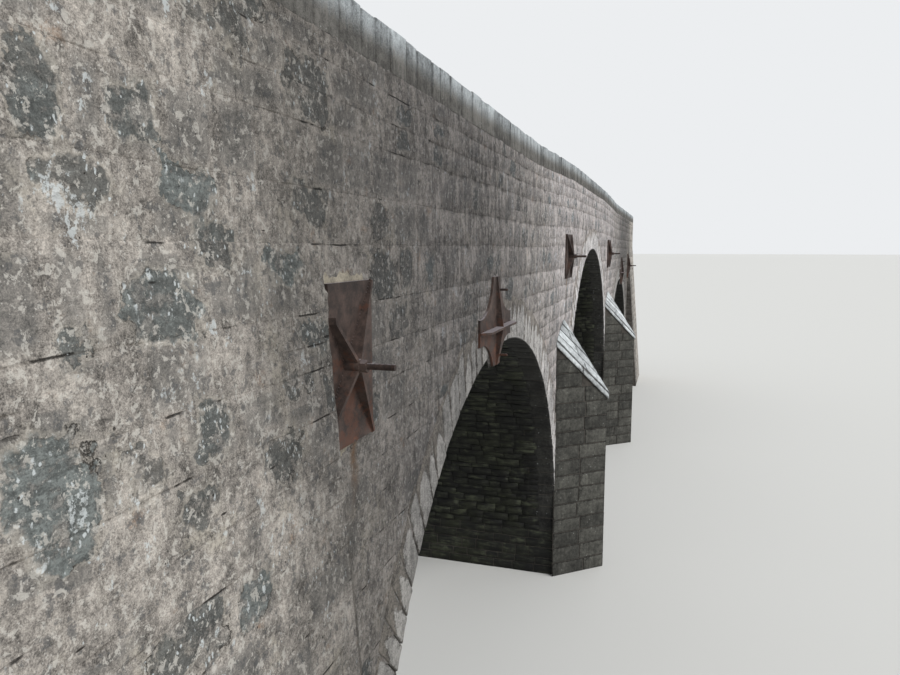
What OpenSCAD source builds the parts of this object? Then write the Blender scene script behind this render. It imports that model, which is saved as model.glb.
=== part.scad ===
// Stone arch bridge with three round arches, pointed cutwaters, battered wing walls
// and iron tie plates held by rods that run through it from face to face.
// X runs along the bridge, Y across it and Z up. The origin is on the base, under the crown of the main arch.

/* [Arches] */
// Radius of the main arch, to its underside
main_r = 4000; // [3600:50:4400]
// Height of the main arch's springing above the base
main_spring_z = 2200; // [1900:50:2600]
// Radius of each side arch, to its underside
side_r = 4200; // [3800:50:4400]
// Height of the side arches' springing above the base
side_spring_z = 860; // [500:20:1200]
// Depth of the arch stones
ring_t = 550; // [400:10:600]
// Thickness of a pier between two springings
pier_w = 1350; // [1300:10:1800]

/* [Walls and road] */
// Overall width across the two faces
bridge_w = 4500; // [3800:50:6000]
// Thickness of the face walls and of the dressed arch rings in them
wall_t = 500; // [400:10:700]
// Masonry between the main arch's crown stones and the road bed
cover_t = 130; // [60:5:250]
// Rise of the road over the main arch
road_rise = 120; // [20:10:300]
// Half length of the level stretch over the main arch
level_half = 3500; // [2500:50:4000]
// Length of each ramp beside it
ramp_len = 4000; // [2000:50:5000]
// Thickness of the road surface
road_t = 150; // [100:10:250]

/* [Parapets] */
// Thickness of a parapet
parapet_t = 450; // [350:10:480]
// Height of a parapet from the road bed to its coping
parapet_h = 700; // [500:10:1100]
// Height of the upright coping stones
coping_h = 300; // [150:10:350]
// How far the coping stands out on each side
coping_lip = 10; // [0:1:40]

/* [Abutments and wing walls] */
// Length of an abutment's face between springing and wing wall
shoulder_l = 630; // [600:10:1000]
// Length of a wing wall
wing_l = 3120; // [2000:20:4000]
// Depth below the road bed at which a wing wall's batter starts
batter_start = 440; // [100:10:900]
// Height over which a wing wall's batter steps out by one
batter_ratio = 12; // [8:1:20]

/* [Cutwaters] */
// How far a cutwater is wider than its pier, over both sides
cutwater_extra = 170; // [0:10:300]
// How far a cutwater's nose stands out of the face
cutwater_out = 870; // [600:10:1200]
// Height of a cutwater's shoulders, where it meets the face
cutwater_shoulder_z = 4450; // [3800:10:4700]
// Rise from the shoulders to the middle of the cap at the face
cutwater_peak = 290; // [100:10:500]
// Drop from the shoulders to the top of the nose
cutwater_drop = 1050; // [400:10:1400]
// Thickness of the sloping cap stones, measured upright
cap_t = 120; // [80:5:200]
// How far the cap oversails the cutwater at its shoulders
cap_lip = 35; // [10:1:80]

/* [Saltire tie plates] */
// Width of the plates beside the wing walls
end_plate_w = 800; // [600:10:1000]
// How much of that width is built into the wing wall
end_plate_hidden = 170; // [0:5:250]
// Width of the plates over the piers
pier_plate_w = 680; // [500:10:900]
// Height of the plates beside the wing walls
end_plate_h = 1050; // [700:10:1200]
// Height of the plates over the piers
pier_plate_h = 840; // [600:10:1000]
// Depth of the end plates' rods below the road bed
end_plate_depth = 1290; // [950:5:1600]
// Depth of the pier plates' rods below the road bed
pier_plate_depth = 795; // [650:5:1100]
// Distance from a pier's middle to its plate, towards the main arch
pier_plate_shift = 325; // [0:5:500]
// Thickness of a plate and of its ribs
plate_t = 25; // [16:1:40]
// Height of the ribs where they cross
rib_h = 105; // [50:1:140]
// Height of the ribs at their tips
rib_tip_h = 12; // [8:1:30]
// Diameter of the boss where the ribs cross
boss_d = 88; // [86:1:160]
// Diameter of a saltire plate's rod
rod_d = 40; // [25:1:50]
// How far a saltire plate's rod stands out of the face
rod_out = 380; // [260:5:500]
// Width of its nut across the flats
nut_w = 72; // [60:1:74]
// Height of its nut
nut_h = 45; // [25:1:60]

/* [Cross tie plates] */
// Overall width of a cross plate
cross_w = 1450; // [1200:10:1600]
// Reach of its upper arm above its level rib
cross_up = 595; // [560:5:700]
// Reach of its lower arm below its level rib
cross_down = 440; // [400:5:600]
// Width of its arms at their ends
cross_arm_w = 300; // [200:10:400]
// Radius of the hollows between its arms
hollow_r = 530; // [480:10:900]
// Height of its upright ribs where they meet the level rib
upright_rib_h = 85; // [50:1:120]
// Height of its level rib
level_rib_h = 105; // [60:1:140]
// Length over which the level rib falls to each tip
level_rib_fall = 110; // [60:10:250]
// Distance from the side arch's middle to the plate, away from the main arch
cross_shift = 620; // [300:10:900]
// Height of its upper rod above the level rib
cross_rod_up = 440; // [400:5:480]
// Depth of its lower rod below the level rib
cross_rod_down = 330; // [280:5:370]
// Distance from the plate's upright rib to its rods
cross_rod_side = 60; // [50:1:90]
// Gap between the arch's underside and the rod that passes below it
soffit_gap = 50; // [20:1:90]
// Diameter of a cross plate's rods
cross_rod_d = 28; // [20:1:36]
// How far a cross plate's rods stand out of the face
cross_rod_out = 160; // [120:5:220]
// Width of their nuts across the flats
cross_nut_w = 46; // [40:1:60]
// Height of their nuts
cross_nut_h = 24; // [18:1:35]

/* [Fits] */
// Thickness of the mortar bed under a tie plate
bed_t = 20; // [10:1:40]
// How far the mortar bed shows above a saltire plate
bed_above = 50; // [10:5:150]
// How far the mortar bed shows below a saltire plate
bed_below = 20; // [10:5:150]
// How far the bed of a cross plate stops inside its edge
bed_inset = 15; // [5:1:40]
// Gap between an end plate and the return of the wing wall
plate_gap = 20; // [10:1:60]
// Clearance round a rod in its bore
rod_clear = 2; // [1:0.5:6]

/* [Hidden] */
$fn = 96;

FRONT = -1;
BACK = 1;
WEST = -1;
EAST = 1;
SIDES = [WEST, EAST];
FACES = [FRONT, BACK];

face_y = bridge_w / 2;
inner_y = face_y - wall_t;
pier_x = main_r + pier_w / 2;
side_x = main_r + pier_w + side_r;
abutment_x = side_x + side_r;
return_x = abutment_x + shoulder_l;
half_l = return_x + wing_l;
bed_main_z = main_spring_z + main_r + ring_t + cover_t;
bed_side_z = bed_main_z - road_rise;
batter_z = bed_side_z - batter_start;
ramp_x = level_half + ramp_len;

end_plate_x = return_x - plate_gap - end_plate_w / 2 + end_plate_hidden;
pier_plate_x = pier_x - pier_plate_shift;
end_plate_z = bed_z(end_plate_x) - end_plate_depth;
pier_plate_z = bed_z(pier_plate_x) - pier_plate_depth;
cross_plate_x = side_x + cross_shift;
cross_rod_x = cross_plate_x - cross_rod_side;
cross_plate_z = side_soffit_z(cross_rod_x) - soffit_gap - cross_rod_d / 2 + cross_rod_down;
cross_rod_ys = [cross_rod_up, -cross_rod_down];

STONE = "#8b857b";
DRESSED = "#a3a099";
RUBBLE = "#7b746a";
GRAVEL = "#9a9082";
MORTAR = "#cfc6b4";
RUST = "#5a3a30";

// Height of the road bed at a distance from the middle
function bed_z(x) = bed_side_z + road_rise * min(1, max(0, (ramp_x - abs(x)) / ramp_len));

// Height of a side arch's underside at a distance from the middle of the bridge
function side_soffit_z(x) = side_spring_z + sqrt(side_r * side_r - (x - side_x) * (x - side_x));

// Profiles in the X-Z plane, drawn as X and Y

// Upper half of a disc
module half_disc(r) {
    intersection() {
        circle(r);
        translate([-r, 0]) square([2 * r, r]);
    }
}

// An arch's opening with its stones, from the base up
module arched_gap(x, spring_z, r) {
    translate([x, spring_z]) half_disc(r);
    translate([x - r, 0]) square([2 * r, spring_z]);
}

// A strip that follows the road bed, from one height above it to another
module bed_strip(low, high, half) {
    polygon([
        [-half, bed_side_z + low], [-ramp_x, bed_side_z + low], [-level_half, bed_main_z + low],
        [level_half, bed_main_z + low], [ramp_x, bed_side_z + low], [half, bed_side_z + low],
        [half, bed_side_z + high], [ramp_x, bed_side_z + high], [level_half, bed_main_z + high],
        [-level_half, bed_main_z + high], [-ramp_x, bed_side_z + high], [-half, bed_side_z + high]
    ]);
}

module ring_profile(spring_z, r) {
    translate([0, spring_z]) difference() {
        half_disc(r + ring_t);
        circle(r);
    }
}

module pier_profile() {
    difference() {
        translate([-pier_x - pier_w / 2, 0]) square([pier_w, main_spring_z]);
        translate([-side_x, side_spring_z]) half_disc(side_r + ring_t);
    }
}

module spandrel_profile() {
    difference() {
        polygon([
            [-return_x, 0], [return_x, 0], [return_x, bed_side_z], [ramp_x, bed_side_z],
            [level_half, bed_main_z], [-level_half, bed_main_z], [-ramp_x, bed_side_z], [-return_x, bed_side_z]
        ]);
        arched_gap(0, main_spring_z, main_r + ring_t);
        for (side = SIDES) {
            arched_gap(side * side_x, side_spring_z, side_r + ring_t);
            scale([-side, 1]) translate([-pier_x - pier_w / 2, 0]) square([pier_w, main_spring_z]);
            scale([-side, 1]) translate([-return_x, 0]) square([shoulder_l, side_spring_z]);
        }
    }
}

// Stands an X-Z profile up between two distances across the bridge
module across(from_y, to_y) {
    translate([0, to_y, 0]) rotate([90, 0, 0]) linear_extrude(to_y - from_y) children();
}

// Puts an X-Z profile into one of the two face walls
module in_face(face, inner, outer) {
    across(min(face * inner, face * outer), max(face * inner, face * outer)) children();
}

// Turns a piece drawn for the west end to the chosen end
module at_end(side) {
    if (side == WEST) children();
    else mirror([1, 0, 0]) children();
}

// Turns a piece drawn for the front face to the chosen face
module on_face(face) {
    if (face == FRONT) children();
    else mirror([0, 1, 0]) children();
}

// Bores for all the tie rods, from face to face
module rod_bores() {
    for (side = SIDES) {
        rod_line(side * end_plate_x, end_plate_z, rod_d + 2 * rod_clear, bridge_w + 2);
        rod_line(side * pier_plate_x, pier_plate_z, rod_d + 2 * rod_clear, bridge_w + 2);
        rod_line(side * cross_rod_x, cross_plate_z + cross_rod_up, cross_rod_d + 2 * rod_clear, bridge_w + 2);
    }
}

module rod_line(x, z, d, l) {
    translate([x, l / 2, z]) rotate([90, 0, 0]) cylinder(d = d, h = l);
}

// Masonry

module abutment(side) {
    color(RUBBLE) at_end(side) {
        translate([-half_l, -inner_y, 0]) cube([wing_l, 2 * inner_y, bed_side_z]);
        translate([-return_x, -face_y, 0]) cube([shoulder_l, bridge_w, side_spring_z]);
    }
}

module pier(side) {
    color(STONE) at_end(side) across(-face_y, face_y) pier_profile();
}

module wing_wall(side, face) {
    foot = batter_z / batter_ratio;
    color(STONE) at_end(side) on_face(face)
        translate([-half_l, 0, 0]) rotate([90, 0, 90]) linear_extrude(wing_l)
            polygon([
                [-inner_y, 0], [-inner_y, bed_side_z], [-face_y, bed_side_z],
                [-face_y, batter_z], [-face_y - foot, 0]
            ]);
}

module arch_barrel(x, spring_z, r) {
    color(RUBBLE) translate([x, 0, 0]) across(-inner_y, inner_y) ring_profile(spring_z, r);
}

module arch_ring(x, spring_z, r, face) {
    color(DRESSED) translate([x, 0, 0]) in_face(face, inner_y, face_y) ring_profile(spring_z, r);
}

module spandrel_wall(face) {
    color(STONE) difference() {
        in_face(face, inner_y, face_y) spandrel_profile();
        rod_bores();
    }
}

module rubble_core() {
    color(RUBBLE) difference() {
        across(-inner_y, inner_y) spandrel_profile();
        rod_bores();
    }
}

module road_surface(from_x, to_x) {
    road_half_w = face_y - parapet_t;
    color(GRAVEL) across(-road_half_w, road_half_w) intersection() {
        bed_strip(0, road_t, half_l);
        translate([from_x, 0]) square([to_x - from_x, bed_main_z + road_t]);
    }
}

module parapet(face) {
    color(STONE) in_face(face, face_y - parapet_t, face_y) bed_strip(0, parapet_h, half_l);
}

module coping(face) {
    color(DRESSED) in_face(face, face_y - parapet_t - coping_lip, face_y + coping_lip)
        bed_strip(parapet_h, parapet_h + coping_h, half_l);
}

// Cutwaters

cutwater_half_w = (pier_w + cutwater_extra) / 2;

// Corners of a cutwater's plan, grown by a factor about its middle at the face
function cutwater_plan(k) = [[-cutwater_half_w * k, 0], [0, -cutwater_out * k], [cutwater_half_w * k, 0]];

// Heights of the sloping top over those corners, and over the middle at the face
function shoulder_z(k) = cutwater_shoulder_z + cutwater_peak * (1 - k);
function nose_z(k) = cutwater_shoulder_z + cutwater_peak - (cutwater_peak + cutwater_drop) * k;

// A wedge with a pointed plan: its foot heights and top heights are for shoulder, nose, shoulder and middle
module pointed_block(k, foot, top) {
    plan = cutwater_plan(k);
    corners = [plan[0], plan[1], plan[2], [0, 0]];
    points = concat(
        [for (i = [0:3]) [corners[i][0], corners[i][1], foot[i]]],
        [for (i = [0:3]) [corners[i][0], corners[i][1], top[i]]]
    );
    polyhedron(points, [
        [0, 1, 3], [1, 2, 3],
        [5, 4, 7], [6, 5, 7],
        [0, 4, 5, 1], [1, 5, 6, 2], [2, 6, 7, 3], [3, 7, 4, 0]
    ]);
}

module at_cutwater(side, face) {
    at_end(side) on_face(face) translate([-pier_x, -face_y, 0]) children();
}

module cutwater(side, face) {
    peak_z = cutwater_shoulder_z + cutwater_peak;
    color(STONE) at_cutwater(side, face)
        pointed_block(1, [0, 0, 0, 0], [shoulder_z(1), nose_z(1), shoulder_z(1), peak_z]);
}

module cutwater_cap(side, face) {
    k = 1 + cap_lip / cutwater_half_w;
    peak_z = cutwater_shoulder_z + cutwater_peak;
    foot = [shoulder_z(k), nose_z(k), shoulder_z(k), peak_z];
    color(DRESSED) at_cutwater(side, face) pointed_block(k, foot, [for (z = foot) z + cap_t]);
}

// Tie plates, drawn flat with Z out of the wall and Y up

// Rib along X from the middle to its tip, tapering in height
module tapered_rib(l, h) {
    rib([[0, 0], [l, 0], [l, plate_t + rib_tip_h], [0, plate_t + h]]);
}

// Rib along X, as thick as the plate, from its outline in length and height
module rib(outline) {
    translate([0, plate_t / 2, 0]) rotate([90, 0, 0]) linear_extrude(plate_t) polygon(outline);
}

// Box of the part of a saltire plate that shows beside the wing wall, grown above and below by two lengths
module shown_part(w, h, hidden, thick, above = 0, below = 0) {
    translate([hidden - w / 2, -h / 2 - below, 0]) cube([w - hidden, h + above + below, thick]);
}

module saltire_plate(w, h, hidden = 0) {
    half_diagonal = sqrt(w * w + h * h) / 2;
    rib_angle = atan2(h, w);
    difference() {
        union() {
            shown_part(w, h, hidden, plate_t);
            intersection() {
                for (angle = [rib_angle, 180 - rib_angle, 180 + rib_angle, -rib_angle])
                    rotate([0, 0, angle]) tapered_rib(half_diagonal, rib_h);
                shown_part(w, h, hidden, plate_t + rib_h);
            }
            cylinder(d = boss_d, h = plate_t + rib_h);
        }
        translate([0, 0, -1]) cylinder(d = rod_d + 2 * rod_clear, h = plate_t + rib_h + 2);
    }
}

// Middle of an arc of the hollows' radius through two points, on the left of the way between them
function arc_middle(from, to) =
    let (way = to - from, l = norm(way))
    (from + to) / 2 + [-way[1], way[0]] / l * sqrt(hollow_r * hollow_r - l * l / 4);

// A cross plate's outline, about the place where its ribs meet
module cross_outline(inset) {
    half_arm = cross_arm_w / 2;
    difference() {
        translate([inset - cross_w / 2, inset - cross_down])
            square([cross_w - 2 * inset, cross_up + cross_down - 2 * inset]);
        for (side = SIDES) scale([side, 1]) {
            translate(arc_middle([half_arm, cross_up], [cross_w / 2, half_arm])) circle(hollow_r + inset);
            translate(arc_middle([cross_w / 2, -half_arm], [half_arm, -cross_down])) circle(hollow_r + inset);
        }
    }
}

module cross_rod_holes(h) {
    for (y = cross_rod_ys)
        translate([cross_rod_side, y, -1]) cylinder(d = cross_rod_d + 2 * rod_clear, h = h + 2);
}

module cross_plate() {
    half_w = cross_w / 2;
    tip_z = plate_t + rib_tip_h;
    top_z = plate_t + level_rib_h;
    difference() {
        union() {
            linear_extrude(plate_t) cross_outline(0);
            rotate([0, 0, 90]) tapered_rib(cross_up, upright_rib_h);
            rotate([0, 0, -90]) tapered_rib(cross_down, upright_rib_h);
            rib([
                [-half_w, 0], [half_w, 0], [half_w, tip_z], [half_w - level_rib_fall, top_z],
                [level_rib_fall - half_w, top_z], [-half_w, tip_z]
            ]);
        }
        cross_rod_holes(plate_t);
    }
}

// Puts a flat-drawn piece on a face, at a place along the bridge and a height, on its mortar bed
module on_wall(side, face, x, z, out) {
    at_end(side) on_face(face) translate([-x, -face_y - out, z]) rotate([90, 0, 0]) children();
}

module saltire_plates(face) {
    color(RUST) for (side = SIDES) {
        on_wall(side, face, end_plate_x, end_plate_z, bed_t)
            saltire_plate(end_plate_w, end_plate_h, end_plate_hidden);
        on_wall(side, face, pier_plate_x, pier_plate_z, bed_t) saltire_plate(pier_plate_w, pier_plate_h);
    }
}

module cross_plates(face) {
    color(RUST) for (side = SIDES)
        on_wall(side, face, cross_plate_x, cross_plate_z, bed_t) cross_plate();
}

module tie_rods() {
    rod_l = bridge_w + 2 * rod_out;
    cross_rod_l = bridge_w + 2 * cross_rod_out;
    color(RUST) for (side = SIDES) {
        rod_line(side * end_plate_x, end_plate_z, rod_d, rod_l);
        rod_line(side * pier_plate_x, pier_plate_z, rod_d, rod_l);
        for (y = cross_rod_ys) rod_line(side * cross_rod_x, cross_plate_z + y, cross_rod_d, cross_rod_l);
    }
}

module nut(w, h, d) {
    difference() {
        cylinder(d = w / cos(30), h = h, $fn = 6);
        translate([0, 0, -1]) cylinder(d = d, h = h + 2);
    }
}

module tie_rod_nuts() {
    boss_out = bed_t + plate_t + rib_h;
    color(RUST) for (side = SIDES, face = FACES) {
        on_wall(side, face, end_plate_x, end_plate_z, boss_out) nut(nut_w, nut_h, rod_d);
        on_wall(side, face, pier_plate_x, pier_plate_z, boss_out) nut(nut_w, nut_h, rod_d);
        for (y = cross_rod_ys)
            on_wall(side, face, cross_rod_x, cross_plate_z + y, bed_t + plate_t)
                nut(cross_nut_w, cross_nut_h, cross_rod_d);
    }
}

module saltire_bed(w, h, hidden = 0) {
    difference() {
        shown_part(w, h, hidden, bed_t, bed_above, bed_below);
        translate([0, 0, -1]) cylinder(d = rod_d + 2 * rod_clear, h = bed_t + 2);
    }
}

module cross_bed() {
    difference() {
        linear_extrude(bed_t) cross_outline(bed_inset);
        cross_rod_holes(bed_t);
    }
}

module plate_bedding() {
    color(MORTAR) for (side = SIDES, face = FACES) {
        on_wall(side, face, end_plate_x, end_plate_z, 0)
            saltire_bed(end_plate_w, end_plate_h, end_plate_hidden);
        on_wall(side, face, pier_plate_x, pier_plate_z, 0) saltire_bed(pier_plate_w, pier_plate_h);
        on_wall(side, face, cross_plate_x, cross_plate_z, 0) cross_bed();
    }
}

abutment(WEST);  // abutment_west
abutment(EAST);  // abutment_east
pier(WEST);  // pier_west
pier(EAST);  // pier_east
wing_wall(WEST, FRONT);  // wing_wall_west_front
wing_wall(WEST, BACK);  // wing_wall_west_back
wing_wall(EAST, FRONT);  // wing_wall_east_front
wing_wall(EAST, BACK);  // wing_wall_east_back
cutwater(WEST, FRONT);  // cutwater_west_front
cutwater(WEST, BACK);  // cutwater_west_back
cutwater(EAST, FRONT);  // cutwater_east_front
cutwater(EAST, BACK);  // cutwater_east_back
cutwater_cap(WEST, FRONT);  // cutwater_cap_west_front
cutwater_cap(WEST, BACK);  // cutwater_cap_west_back
cutwater_cap(EAST, FRONT);  // cutwater_cap_east_front
cutwater_cap(EAST, BACK);  // cutwater_cap_east_back
arch_barrel(-side_x, side_spring_z, side_r);  // arch_barrel_west
arch_barrel(0, main_spring_z, main_r);  // arch_barrel_main
arch_barrel(side_x, side_spring_z, side_r);  // arch_barrel_east
arch_ring(-side_x, side_spring_z, side_r, FRONT);  // arch_ring_west_front
arch_ring(0, main_spring_z, main_r, FRONT);  // arch_ring_main_front
arch_ring(side_x, side_spring_z, side_r, FRONT);  // arch_ring_east_front
arch_ring(-side_x, side_spring_z, side_r, BACK);  // arch_ring_west_back
arch_ring(0, main_spring_z, main_r, BACK);  // arch_ring_main_back
arch_ring(side_x, side_spring_z, side_r, BACK);  // arch_ring_east_back
spandrel_wall(FRONT);  // spandrel_wall_front
spandrel_wall(BACK);  // spandrel_wall_back
rubble_core();
road_surface(-half_l, -ramp_x);  // road_surface_west
road_surface(-ramp_x, ramp_x);  // road_surface_middle
road_surface(ramp_x, half_l);  // road_surface_east
parapet(FRONT);  // parapet_front
parapet(BACK);  // parapet_back
coping(FRONT);  // coping_front
coping(BACK);  // coping_back
saltire_plates(FRONT);  // saltire_plates_front
saltire_plates(BACK);  // saltire_plates_back
cross_plates(FRONT);  // cross_plates_front
cross_plates(BACK);  // cross_plates_back
tie_rods();
tie_rod_nuts();
plate_bedding();
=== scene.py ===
"""The stone arch bridge, dressed: facing stones, arch stones, copings, iron plates, road and their finishes.

X runs along the bridge, Y across it and Z up, in metres. The origin is on the base, under the main arch's
crown. Every stone is a closed shape set into the masonry of the frame, which shows between the stones as
mortar.
"""
import math
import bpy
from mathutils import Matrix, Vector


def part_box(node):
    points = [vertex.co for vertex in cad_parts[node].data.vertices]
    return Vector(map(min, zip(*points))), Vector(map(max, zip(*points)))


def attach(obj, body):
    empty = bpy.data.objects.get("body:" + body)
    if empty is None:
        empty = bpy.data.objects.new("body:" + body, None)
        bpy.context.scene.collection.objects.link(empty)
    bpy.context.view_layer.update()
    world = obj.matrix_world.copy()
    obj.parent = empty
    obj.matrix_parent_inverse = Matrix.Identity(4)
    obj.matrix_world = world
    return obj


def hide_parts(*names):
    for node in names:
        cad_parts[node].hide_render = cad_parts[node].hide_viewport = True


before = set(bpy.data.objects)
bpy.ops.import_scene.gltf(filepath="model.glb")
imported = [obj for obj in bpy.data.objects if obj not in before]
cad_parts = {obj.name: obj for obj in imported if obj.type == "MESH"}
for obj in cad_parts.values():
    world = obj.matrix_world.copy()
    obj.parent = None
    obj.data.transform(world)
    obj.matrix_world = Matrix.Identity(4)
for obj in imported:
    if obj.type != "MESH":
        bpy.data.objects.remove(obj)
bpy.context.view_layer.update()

from types import SimpleNamespace

import bmesh
import bpy
import numpy as np

bl_info = {
    "name": "Stone Arch Bridge",
    "version": (1, 0, 0),
    "blender": (4, 5, 0),
    "location": "View3D > Sidebar > Bridge",
    "description": "Dresses a masonry arch bridge with stones, iron plates and their finishes",
    "category": "Object",
}

SCENE = bpy.context.scene

# Sizes of the frame, in metres
RING_LOW, RING_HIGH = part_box("arch_ring_main_front")
SIDE_RING_LOW, SIDE_RING_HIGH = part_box("arch_ring_west_front")
PIER_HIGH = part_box("pier_west")[1]
WING_LOW, WING_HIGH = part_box("wing_wall_west_front")
PARAPET_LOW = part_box("parapet_front")[0]
COPING_LOW, COPING_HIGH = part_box("coping_front")
ROAD_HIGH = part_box("road_surface_middle")[1]
END_ROAD_LOW, END_ROAD_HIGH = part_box("road_surface_west")
CUTWATER_LOW, CUTWATER_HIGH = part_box("cutwater_west_front")
CAP_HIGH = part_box("cutwater_cap_west_front")[1]

FACE_Y = -RING_LOW.y
MAIN_R = -PIER_HIGH.x
RING_T = RING_HIGH.x - MAIN_R
MAIN_SPRING = RING_LOW.z
SIDE_SPRING = SIDE_RING_LOW.z
SIDE_X = -(SIDE_RING_LOW.x + SIDE_RING_HIGH.x) / 2
SIDE_R = (SIDE_RING_HIGH.x - SIDE_RING_LOW.x) / 2 - RING_T
SIDE_NEAR_X = SIDE_X - SIDE_R
SIDE_FAR_X = SIDE_X + SIDE_R
PIER_X = -(CUTWATER_LOW.x + CUTWATER_HIGH.x) / 2
RETURN_X = -WING_HIGH.x
END_X = -WING_LOW.x
BATTER_FOOT = -WING_LOW.y - FACE_Y
BATTER_Z = 12 * BATTER_FOOT
BED_Z = PARAPET_LOW.z
RISE = ROAD_HIGH.z - END_ROAD_HIGH.z
RAMP_X = ROAD_HIGH.x
LEVEL_X = 3.5
ROAD_Y = ROAD_HIGH.y
ROAD_TOP = END_ROAD_HIGH.z
COPING_Z = COPING_LOW.z
COPING_TOP = COPING_HIGH.z - RISE
NOSE_OUT = -CUTWATER_LOW.y - FACE_Y
CUTWATER_HALF = (CUTWATER_HIGH.x - CUTWATER_LOW.x) / 2
SHOULDER_Z = 4.45
NOSE_Z = 3.4
CAP_T = CAP_HIGH.z - CUTWATER_HIGH.z

ARCHES = (
    ("west", -SIDE_X, SIDE_SPRING, SIDE_R),
    ("main", 0.0, MAIN_SPRING, MAIN_R),
    ("east", SIDE_X, SIDE_SPRING, SIDE_R),
)

# Tie plates, each as x, z, width and height, and what belongs to them
END_PLATE = (14.13, 5.47, 0.8, 1.05)
PIER_PLATE = (4.35, 6.06, 0.68, 0.84)
CROSS_PLATE = (10.17, 5.289, 1.45, 1.035)
END_HIDDEN = 0.17
CROSS_UP, CROSS_DOWN, CROSS_ARM, HOLLOW_R = 0.595, 0.44, 0.15, 0.53
CROSS_RODS = ((0.06, 0.44), (0.06, -0.33))
BED_T = 0.02
PLATE_T = 0.025
RIB_H = 0.105
BOSS_R = 0.044
CORNERS = ((-1, -1), (-1, 1), (1, -1), (1, 1))

# Tie rods, each as its thickness, how far it reaches out, and its nut's width and height
ROD = (0.04, 0.38, 0.072, 0.045)
CROSS_ROD = (0.028, 0.16, 0.046, 0.024)

# Where the facing is divided, how far its stones reach, and what hides it
NEAR_X = 12.2
SPLIT_Z = 6.23
SOFFIT_Y = FACE_Y - 0.28
JOINT_REACH = 0.05
BURIED = 0.3
RING_COVER = 0.12
RING_MIDDLE = 0.26
RING_DEPTH = 0.525
BEHIND_CUTWATER = (0.66, 4.4)
WALL_SIDE = 2.2

# The road: how far its wheel tracks lie from the middle, and its loose stones from the edges
TRACK_Y = 0.85
STREWN_IN = 0.03

# Tops of the courses beside the near end, and the stones that its mortar leaves bare, each as x, z, half
# width and half height
NEAR_COURSES = (7.46, 7.3, 7.1, 6.9, 6.55, 6.23, 5.84, 5.52, 5.24, 4.95, 4.7, 4.42)
BARE_STONES = (
    (-16.29, 6.7, 0.1, 0.08), (-16.13, 6.44, 0.14, 0.07), (-15.54, 6.47, 0.2, 0.1),
    (-15.83, 6.73, 0.11, 0.07), (-15.73, 5.95, 0.22, 0.13), (-16.41, 5.37, 0.16, 0.23),
    (-15.54, 5.43, 0.17, 0.11), (-15.71, 5.13, 0.14, 0.07), (-14.99, 5.14, 0.22, 0.08),
    (-14.83, 6.11, 0.17, 0.09), (-14.49, 6.46, 0.24, 0.1), (-14.55, 5.74, 0.18, 0.08),
    (-15.97, 5.33, 0.08, 0.11), (-14.74, 5.47, 0.18, 0.07), (-15.41, 7.21, 0.12, 0.05),
    (-15.19, 7.22, 0.1, 0.12), (-14.46, 7.11, 0.25, 0.14), (-15.38, 6.22, 0.16, 0.08),
    (-16.21, 5.87, 0.06, 0.05), (-16.25, 6.64, 0.08, 0.05),
)


def tint(red, green, blue):
    """A colour given as it looks on a screen, from 0 to 255, as Blender's linear colour."""
    values = []
    for value in (red, green, blue):
        share = value / 255
        values.append(share / 12.92 if share <= 0.04045 else ((share + 0.055) / 1.055) ** 2.4)
    return (*values, 1.0)


def shade_of(colour, factor):
    """A linear colour made lighter or darker by a factor, as it looks on a screen."""
    shown = [c * 12.92 if c <= 0.0031308 else 1.055 * c ** (1 / 2.4) - 0.055 for c in tuple(colour)[:3]]
    return tint(*(min(255.0, c * 255 * factor) for c in shown))


WHITE = tint(255, 255, 255)


def new_dice(seed):
    return np.random.default_rng(seed)


def shades(colour, *stops):
    """Stops for a ramp: places, each with the factor by which the colour is lighter or darker there."""
    return tuple((place, shade_of(colour, factor)) for place, factor in stops)


# Node helpers


class Link:
    """One output of a node. Arithmetic on it adds Math nodes."""

    def __init__(self, web, socket):
        self.web = web
        self.socket = socket

    def math(self, operation, *others):
        return self.web.add("ShaderNodeMath", {"operation": operation}, [self, *others])

    def from_left(self, operation, other):
        return self.web.add("ShaderNodeMath", {"operation": operation}, [other, self])

    def __add__(self, other):
        return self.math("ADD", other)

    def __radd__(self, other):
        return self.math("ADD", other)

    def __sub__(self, other):
        return self.math("SUBTRACT", other)

    def __rsub__(self, other):
        return self.from_left("SUBTRACT", other)

    def __mul__(self, other):
        return self.math("MULTIPLY", other)

    def __rmul__(self, other):
        return self.math("MULTIPLY", other)

    def __truediv__(self, other):
        return self.math("DIVIDE", other)

    def __rtruediv__(self, other):
        return self.from_left("DIVIDE", other)

    def __pow__(self, other):
        return self.math("POWER", other)

    def __abs__(self):
        return self.math("ABSOLUTE")

    def least(self, other):
        return self.math("MINIMUM", other)

    def most(self, other):
        return self.math("MAXIMUM", other)

    def between(self, low, high, start=0.0, end=1.0, smooth=False):
        """Carries low..high over to start..end and holds the ends."""
        kind = "SMOOTHSTEP" if smooth else "LINEAR"
        return self.web.add("ShaderNodeMapRange", {"interpolation_type": kind}, [self, low, high, start, end])

    def rises(self, low, high):
        """0 below low, 1 above high, and smooth between them."""
        return self.between(low, high, smooth=True)

    def falls(self, low, high):
        """1 below low, 0 above high, and smooth between them."""
        return self.between(low, high, 1.0, 0.0, True)

    def stray(self, weight):
        """How far a pattern strays from its middle, a half, times a weight."""
        return (self - 0.5) * weight


def varied(*parts):
    """A half, and how far each pattern strays from its middle, times its weight."""
    total = 0.5
    for pattern, weight in parts:
        total = total + pattern.stray(weight)
    return total


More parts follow.
